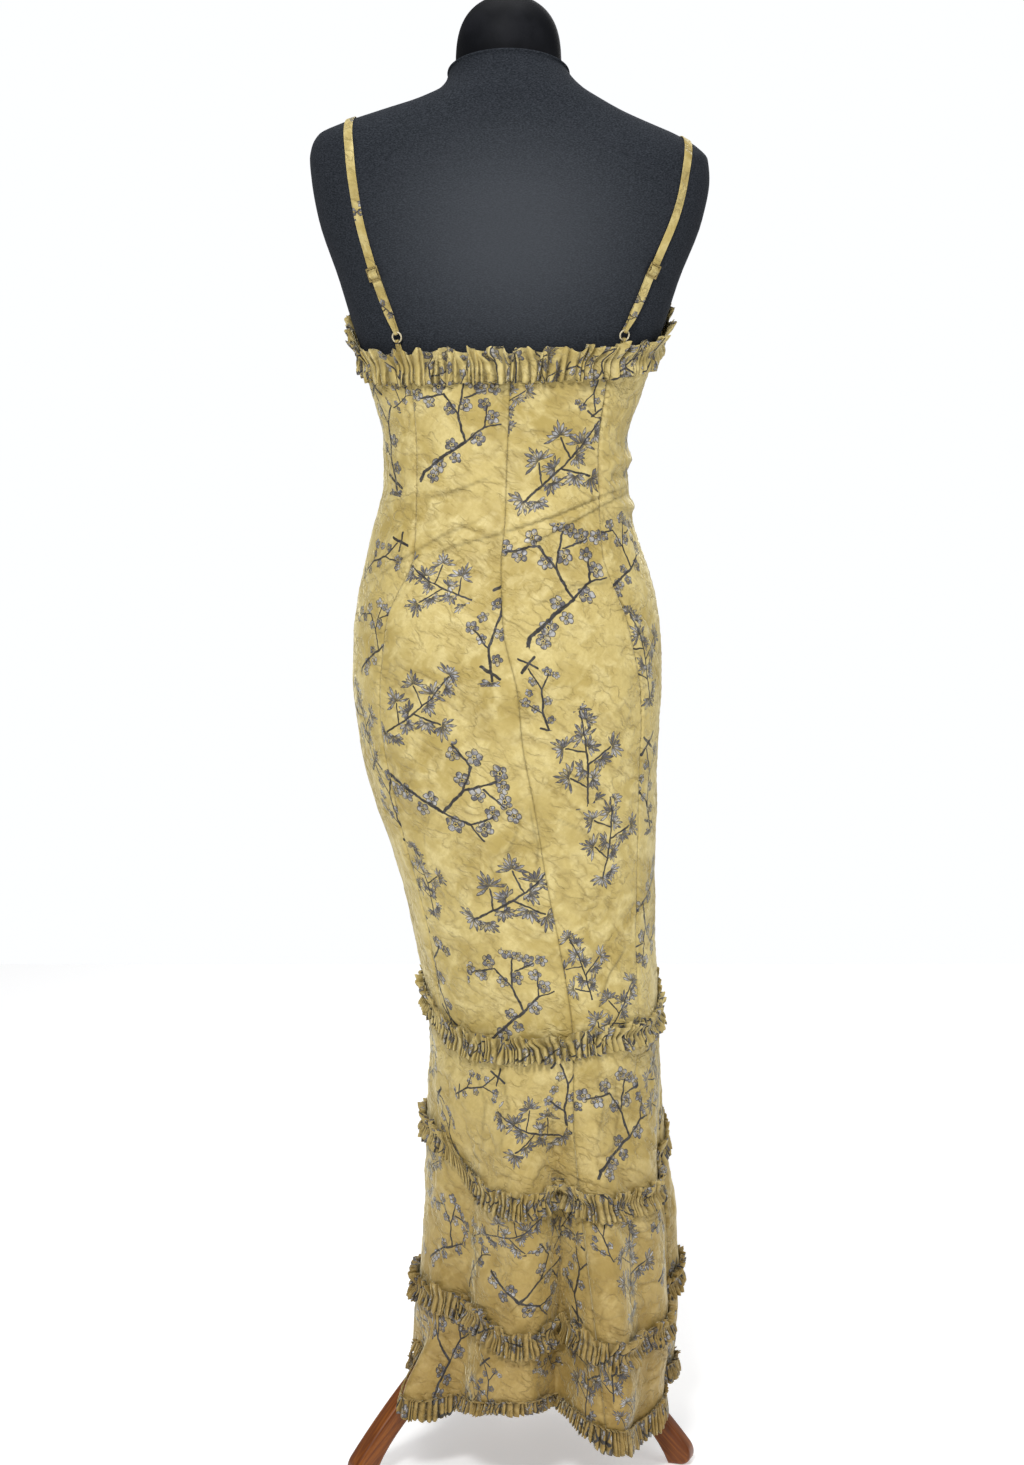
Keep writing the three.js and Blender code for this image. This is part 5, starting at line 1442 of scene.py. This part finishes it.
@dataclass(frozen=True)
class Ruffle:
    """A gathered strip: pleats stand out from the line where it is sewn on."""

    name: str
    level: str
    below: float
    above: float
    pleat: float
    depth: float
    clearance: float
    seed: int
    lift: float = 0.0
    lean: float = 0.0
    shorter: float = 0.0
    sinks: float = 0.0
    shaded: float = 1.0
    gathered: float = 2.0
    rows: int = 12
    shares: tuple[float, ...] = (0.0, 0.09, 0.17, 0.27, 0.43, 0.61, 0.78, 0.9)
    heights: tuple[float, ...] = (0.0, 0.22, 0.84, 1.0, 0.95, 0.82, 0.62, 0.2)

    samples = 1441
    uneven_sizes = (0.4, 1.8)
    uneven_depths = (0.5, 1.25)
    uneven_leans = (-0.4, 0.4)
    uneven_shades = (0.8, 1.1)

    def cloth(self, figure: Figure, wall: float) -> ClothMesh:
        """Pleats the strip round the body.

        Args:
            figure: The surface it follows.
            wall: How far the cloth under it stands out.

        Returns:
            The strip's points and flat coordinates.
        """
        chance = random.Random(self.seed)
        base = wall + self.clearance
        sweep = np.linspace(-180, 180, self.samples)
        line = self._line(figure, sweep)
        path = figure.outside(sweep, line, np.full(sweep.shape, base))
        steps = np.linalg.norm(np.diff(path, axis=0), axis=1)
        slopes = np.gradient(path, axis=0)
        level_share = np.hypot(*slopes[:, :2].T) / np.linalg.norm(slopes, axis=1)
        travelled = np.concatenate([[0.0], np.cumsum(steps)])
        total = travelled[-1]
        count = int(total / self.pleat)

        def drawn(limits: tuple[float, float]) -> Values:
            """One random value for each pleat."""
            return np.array([chance.uniform(*limits) for _ in range(count)])

        sizes = drawn(self.uneven_sizes)
        bounds = np.concatenate([[0.0], np.cumsum(sizes)]) / sizes.sum() * total
        pleat = np.append(np.repeat(np.arange(count), len(self.shares)), count - 1)
        part = np.append(np.tile(self.shares, count), 1.0)[:, None]
        wave = np.append(np.tile(self.heights, count), 0.0)[:, None]
        width = (bounds[pleat + 1] - bounds[pleat])[:, None]
        start = bounds[pleat][:, None] + width * part
        depths = drawn(self.uneven_depths)[pleat][:, None]
        leans = drawn(self.uneven_leans)[pleat][:, None]
        slow = (pleat[:, None] + part) * 2 * np.pi / count
        share = np.linspace(-1, 1, self.rows + 1)[None, :]
        free = smooth(np.abs(share) / 0.8)
        drift = 0.85 + 0.25 * np.sin(slow * 9 + self.seed) + 0.15 * np.sin(slow * 23)
        calm = np.interp(start, travelled, level_share) ** 2
        swing = (self.gathered + self.depth * depths * drift * free) * calm
        tip = 0.6 * np.sin(slow * 5 + self.seed) + 1.4 * leans
        shift = tip * width * np.where(share > 0, free, -0.3 * free)
        shift = shift + 0.35 * width * (wave - 0.5) * free * np.sign(np.sin(slow * 3 + self.seed))
        place = np.mod(start + shift, total)
        angle = np.interp(place, travelled, sweep)
        waves = np.sin(slow * 31 + self.seed) + 0.8 * np.sin(slow * 57)
        flutter = 1 + np.where(share > 0, 0.16, 0.07) * waves
        below = self.below - self.shorter * figure.raised(self.level, angle)
        tall = np.where(share < 0, share * below, share * self.above) * flutter
        bite = free * np.sign(share) * (1.1 * (part - 0.5) * np.sign(tip) + 0.8 * wave)
        z = self._line(figure, angle) + tall + bite
        flare = self.lean * np.maximum(share, 0) ** 2 + 1.0 * np.maximum(-share, 0)
        points = figure.outside(angle, z, base + swing * wave + flare)
        points[-1] = points[0]
        gather = np.linalg.norm(np.diff(points, axis=0), axis=2).mean(axis=1)
        flat = np.concatenate([[0.0], np.cumsum(gather)])
        flat = flat - flat[-1] / 2
        up = (share + 1) / 2 * (self.below + self.above)
        grid = np.stack([np.tile(-flat[:, None], (1, share.shape[1])), np.tile(up, (len(flat), 1))], axis=-1)
        # Painted shade in the pleat gaps, lighter towards the open edges and uneven from pleat to pleat.
        open_edge = np.where(share > 0, 0.5, 0.15) * free
        pleat_shade = drawn(self.uneven_shades)[pleat][:, None]
        deep = np.minimum((1 - wave) ** 0.85 * (1 - open_edge) * pleat_shade * self.shaded, 1.0)
        return ClothMesh(f"cloth_{self.name}", points[::-1], grid[::-1], deep[::-1])

    def _line(self, figure: Figure, angle: Values) -> Values:
        """The height of the line where the strip is sewn on."""
        return figure.level(self.level, angle) + self.lift - self.sinks * figure.raised(self.level, angle)


RUFFLES = (
    Ruffle("ruffle_neckline", "top", 16.5, 15, 7.2, 6.2, 1.0, 11, lean=2.0, shaded=0.8),
    Ruffle("ruffle_row1", "row1", 12.5, 12.5, 5.0, 5.6, 1.0, 23, lean=1.2),
    Ruffle("ruffle_row2", "row2", 12.5, 12.5, 4.9, 5.6, 1.4, 37, lean=1.2),
    Ruffle("ruffle_row3", "row3", 12.5, 12.5, 5.0, 5.8, 1.6, 53, lean=1.2),
    Ruffle(
        "ruffle_hem", "hem", 23, 2, 5.2, 3.8, 1.2, 71, lift=HEM_DEPTH, shorter=HEM_SHORTER, sinks=HEM_RISE,
        gathered=1.5, rows=10,
    ),
)


@dataclass
class StrapFittings:
    """Straps, tabs, sliders and rings, refined from the frame's own pieces."""

    frame: dict
    cloth: list[bpy.types.Material]
    slider: bpy.types.Material
    ring: bpy.types.Material
    soft_edge: float = 0.28
    hard_edge: float = 0.35
    sheet_width: float = 10.4
    first_stamp: float = 20
    stamp_step: float = 95
    stamp_size: float = 0.55

    def build(self) -> None:
        """Builds both sides."""
        for side in ("left", "right"):
            for node in (f"strap_{side}", f"strap_tab_{side}"):
                piece = self._copy(node, self.soft_edge, 2)
                self._print(piece)
                claim(piece, node)
            slider = self._copy(f"slider_{side}", self.hard_edge, 0)
            slider.data.materials.append(self.slider)
            claim(slider, f"slider_{side}")
            ring = self._copy(f"ring_{side}", 0.0, 2)
            ring.data.materials.append(self.ring)
            claim(ring, f"ring_{side}")

    def _copy(self, node: str, edge: float, levels: int) -> bpy.types.Object:
        """A rounded copy of a node.

        Args:
            node: The node's name.
            edge: How far its sharp edges are rounded, in millimetres.
            levels: How many times its faces are divided.

        Returns:
            The new piece.
        """
        form = bmesh.new()
        form.from_mesh(self.frame["nodes"][node].data)
        bmesh.ops.remove_doubles(form, verts=form.verts, dist=0.00001)
        bmesh.ops.join_triangles(
            form, faces=form.faces, angle_face_threshold=0.35, angle_shape_threshold=math.pi,
        )
        if edge:
            sharp = [e for e in form.edges if len(e.link_faces) == 2 and e.calc_face_angle() > 0.9]
            bmesh.ops.bevel(
                form, geom=sharp, offset=edge * MM, segments=2, profile=0.5, affect="EDGES", material=-1,
            )
        bmesh.ops.recalc_face_normals(form, faces=form.faces)
        for name in list(form.loops.layers.uv.keys()):
            form.loops.layers.uv.remove(form.loops.layers.uv[name])
        piece = finished(form, f"dress_{node}")
        piece.data.materials.clear()
        if levels:
            smoother = piece.modifiers.new("round", "SUBSURF")
            smoother.levels = smoother.render_levels = levels
        return piece

    def _print(self, piece: bpy.types.Object) -> None:
        """Prints a strap by its place seen level from the back."""
        for material in self.cloth:
            piece.data.materials.append(material)
        # Painted shade along the strap, rising and falling, carried by the fold attribute.
        rolled = piece.data.attributes.new("fold", "FLOAT", "POINT")
        for number, corner in enumerate(piece.data.vertices):
            rolled.data[number].value = 0.12 + 0.12 * math.sin(corner.co.z / MM / 2.3 + corner.co.x / MM)
        layer = piece.data.uv_layers.new(name="cloth")
        for loop in piece.data.loops:
            place = piece.data.vertices[loop.vertex_index].co
            layer.data[loop.index].uv = (-place.x, place.z)
        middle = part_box(piece.name.removeprefix("dress_"))
        centre_x = -(middle[0][0] + middle[1][0]) / 2 / MM
        low, high = middle[0][2] / MM, middle[1][2] / MM
        stamps, places = [], []
        height = low + self.first_stamp
        while height < high:
            stamps.append(Stamp(BLOSSOM, 0, 0, height % 180, self.stamp_size))
            places.append((centre_x, height))
            height += self.stamp_step
        print_on(piece, stamps, places)


# ---------------------------------------------------------------- the dress form


@dataclass
class DressForm:
    """The form's padded body under its jersey, and the cover of its neck."""

    figure: Figure
    jersey: bpy.types.Material
    cover: bpy.types.Material
    columns: int = 180
    hidden_inset: float = 1.2
    lip: float = 1.4
    neck_top: float = 1514
    neck_middle: float = 3.5
    neck_half_width: float = 53.5
    neck_back: float = 45
    neck_front: float = 50
    dome: float = 3.2

    def build(self) -> None:
        """Builds the body and the neck."""
        self._torso()
        self._neck()

    def _ring_piece(self, name: str, points: Values) -> bpy.types.Object:
        """A closed body from rings of points, its ends filled."""
        cloth = ClothMesh(name, points, np.zeros(points.shape[:2] + (2,)))
        piece = cloth.build(closed=True)
        form = bmesh.new()
        form.from_mesh(piece.data)
        rims = [edge for edge in form.edges if edge.is_boundary]
        bmesh.ops.holes_fill(form, edges=rims, sides=0)
        bmesh.ops.recalc_face_normals(form, faces=form.faces)
        form.to_mesh(piece.data)
        form.free()
        return piece

    def _torso(self) -> None:
        """The body, from its lower edge inside the skirt to the rim round the neck."""
        heights = np.concatenate([
            RIM["bottom"] + np.array([0.0, 1.5, 5.0]), np.linspace(760, 1280, 40),
            np.linspace(RIM["chest"], RIM["height"], 60),
        ])
        angles = -np.linspace(-180, 180, self.columns + 1)
        angle, z = np.meshgrid(angles, heights, indexing="ij")
        under = smooth((self.figure.level("top", angle) - 6 - z) / 10)
        inset = -self.hidden_inset * under
        inset[:, 0] = -6.0
        inset[:, 1] = -2.5
        points = self.figure.leaned(self.figure.outside(angle, z, inset))
        rim = self._rim(angles)
        piece = self._ring_piece("form_torso", np.concatenate([points, rim], axis=1))
        piece.data.materials.append(self.jersey)
        claim(piece, "torso")

    def _rim(self, angles: Values) -> Values:
        """The rolled edge where the jersey ends round the neck."""
        steps = ((0.6, 0.5), (self.lip, 1.4), (self.lip * 0.8, 2.6), (0.2, 3.2), (-1.6, 2.6), (-3.0, 0.5))
        level = np.full(angles.shape, RIM["height"])
        rings = []
        for out, up in steps:
            ring = self.figure.leaned(self.figure.outside(angles, level, np.full(angles.shape, out)))
            ring[:, 2] += up
            rings.append(ring)
        return np.stack(rings, axis=1)

    def _neck(self) -> None:
        """The domed cap above the rim."""
        share = np.sin(np.linspace(0, np.pi / 2, 44)) * 0.9995
        angles = np.radians(-np.linspace(-180, 180, 121))
        angle, part = np.meshgrid(angles, share, indexing="ij")
        narrow = np.sqrt(1 - part**self.dome)
        depth = np.where(np.cos(angle) > 0, self.neck_back, self.neck_front)
        x = self.neck_middle + self.neck_half_width * narrow * np.sin(angle)
        y = depth * narrow * np.cos(angle)
        seat = RIM["height"] + RIM["slope"] * y + 0.3
        points = np.stack([x, y, seat + (self.neck_top - seat) * part], axis=-1)
        piece = self._ring_piece("form_neck_cap", points)
        piece.data.materials.append(self.cover)
        claim(piece, "neck_cap")


@dataclass(frozen=True)
class Leg:
    """One curved leg, by the plan place of its toe."""

    name: str
    x: float
    y: float


LEGS = (Leg("leg_left", 165, 110), Leg("leg_right", -189, 65), Leg("leg_front", 26, -198))


@dataclass
class Stand:
    """The wooden pole, hub and three legs."""

    thickness: float = 22.0
    rounding: float = 4.5
    pole_radius: float = 16.0
    hub_radius: float = 34.0
    hub_top: float = 196.0
    hub_bottom: float = 104.0
    pole_top: float = 794.7
    pole_gap: float = 0.3
    leg_gap: float = 0.4

    def build(self) -> None:
        """Builds the legs, then the turned parts."""
        for leg in LEGS:
            self._leg(leg)
        upright = Wood(0.0)
        self._turned("hub", self.hub_radius, self.hub_bottom, self.hub_top, 6.0, upright)
        self._turned("pole", self.pole_radius, self.hub_top + self.pole_gap, self.pole_top, 1.0, upright)

    def _turned(self, name: str, radius: float, low: float, high: float, edge: float, wood: Wood) -> None:
        """A turned cylinder with eased edges."""
        form = bmesh.new()
        bmesh.ops.create_cone(
            form, cap_ends=True, segments=96, radius1=radius * MM, radius2=radius * MM,
            depth=(high - low) * MM,
        )
        bmesh.ops.translate(form, verts=form.verts, vec=(0, 0, (high + low) / 2 * MM))
        rims = [e for e in form.edges if e.calc_face_angle(0) > 1]
        bmesh.ops.bevel(
            form, geom=rims, offset=edge * MM, segments=4, profile=0.5, affect="EDGES", material=-1,
        )
        piece = finished(form, f"stand_{name}")
        piece.data.materials.append(wood.material(name, 90.0))
        claim(piece, name)

    def _outline(self) -> list[tuple[float, float]]:
        """The side of a leg, as distances from the pole and heights."""
        start = self.hub_radius + self.leg_gap
        corners = (
            ((176, 0), (180, 0), (184, 0), (188, 0)), ((188, 0), (201, 0), (203, 12), (195.5, 22)),
            ((195.5, 22), (152, 75), (102, 121), (start, 175.5)),
            ((start, 175.5), (start, 155), (start, 140), (start, 118.5)),
            ((start, 118.5), (92.5, 93), (155.5, 49.5), (176, 0)),
        )
        points = []
        for curve in corners:
            steps = 14 if abs(curve[0][1] - curve[3][1]) > 20 and curve[0][0] != curve[3][0] else 5
            for step in range(steps):
                t = step / steps
                weights = ((1 - t) ** 3, 3 * t * (1 - t) ** 2, 3 * t * t * (1 - t), t**3)
                points.append(tuple(sum(w * p[axis] for w, p in zip(weights, curve)) for axis in (0, 1)))
        return points

    def _leg(self, leg: Leg) -> None:
        """A board cut to the outline with rounded long edges."""
        heading = math.atan2(leg.y, leg.x)
        along = Vector((math.cos(heading), math.sin(heading), 0))
        aside = Vector((-along.y, along.x, 0))
        form = bmesh.new()
        corners = [
            form.verts.new((along * r + Vector((0, 0, z)) - aside * self.thickness / 2) * MM)
            for r, z in self._outline()
        ]
        side = form.faces.new(corners)
        pushed = bmesh.ops.extrude_face_region(form, geom=[side])["geom"]
        moved = [part for part in pushed if isinstance(part, bmesh.types.BMVert)]
        bmesh.ops.translate(form, verts=moved, vec=aside * self.thickness * MM)
        bmesh.ops.recalc_face_normals(form, faces=form.faces)
        sharp = [e for e in form.edges if e.calc_face_angle(0) > 1.2]
        bmesh.ops.bevel(
            form, geom=sharp, offset=self.rounding * MM, segments=4, profile=0.5, affect="EDGES", material=-1,
        )
        piece = finished(form, f"stand_{leg.name}")
        piece.data.materials.append(Wood(heading).material(leg.name))
        claim(piece, leg.name)


# ---------------------------------------------------------------- the studio


@dataclass(frozen=True)
class Studio:
    """Pale floor, soft lights and the camera."""

    camera_height: float = 1.144
    camera_back: float = 3.0
    tilt: float = 7.2
    lens: float = 71.5
    floor_size: float = 5.0
    glow: float = 0.30
    seen_glow: float = 0.72

    aim = (0, 0, 0.8)
    lights = (
        ("key", (0.5, 2.6, 3.0), 0.7, 72), ("side", (-2.2, 1.6, 1.9), 1.2, 12),
        ("top", (0.0, -0.2, 3.4), 1.8, 30), ("front", (-0.8, -3.0, 2.2), 2.2, 30),
    )

    def build(self) -> None:
        """Builds the camera, the lights and the floor."""
        lens = bpy.data.cameras.new("camera")
        lens.lens = self.lens
        camera = bpy.data.objects.new("camera", lens)
        camera.location = (0, self.camera_back, self.camera_height)
        camera.rotation_euler = (math.radians(90 - self.tilt), 0, math.pi)
        bpy.context.scene.collection.objects.link(camera)
        bpy.context.scene.camera = camera
        for light in self.lights:
            self._light(*light)
        world = bpy.data.worlds.new("studio")
        world.use_nodes = True
        graph = Graph(world.node_tree)
        background = world.node_tree.nodes["Background"]
        background.inputs[0].default_value = (0.97, 0.98, 1.0, 1)
        seen = graph.node("ShaderNodeLightPath").outputs["Is Camera Ray"]
        graph.feed(background.inputs[1], graph.math("MULTIPLY_ADD", seen, self.seen_glow, self.glow))
        bpy.context.scene.world = world
        bpy.context.scene.view_settings.view_transform = "Standard"
        self._floor()

    def _light(self, name: str, place: tuple[float, float, float], size: float, power: float) -> None:
        """A soft square light that looks at the middle of the dress."""
        lamp = bpy.data.lights.new(name, "AREA")
        lamp.size = size
        lamp.energy = power
        light = bpy.data.objects.new(name, lamp)
        light.location = place
        heading = Vector(self.aim) - Vector(place)
        light.rotation_euler = heading.to_track_quat("-Z", "Y").to_euler()
        bpy.context.scene.collection.objects.link(light)

    def _floor(self) -> None:
        """A wide pale floor."""
        form = bmesh.new()
        bmesh.ops.create_grid(form, x_segments=1, y_segments=1, size=self.floor_size / 2)
        floor = finished(form, "floor")
        material, graph = new_material("floor")
        graph.surface({
            "Base Color": (0.8, 0.8, 0.8, 1), "Roughness": 0.85, "Emission Color": (1, 1, 1, 1),
            "Emission Strength": 0.42,
        })
        floor.data.materials.append(material)


def main() -> None:
    """Builds the studio, the dress form and the dress around the frame."""
    logging.basicConfig(level=logging.INFO, format="%(name)s: %(message)s")
    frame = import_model()
    Studio().build()
    figure = Figure()
    Stand().build()
    DressForm(figure, Jersey().material(), SmoothCover().material()).build()
    cloth = PrintedSatin().materials()
    Dress(figure, cloth).build()
    slider = Trim("slider", (0.42, 0.32, 0.12, 1), (0.22, 0.16, 0.06, 1), 0.55, 0.38).material()
    ring = Trim("ring", (0.72, 0.64, 0.44, 1), (0.52, 0.44, 0.26, 1), 0.1, 0.3).material()
    StrapFittings(frame, cloth, slider, ring).build()


if __name__ == "__main__":
    main()
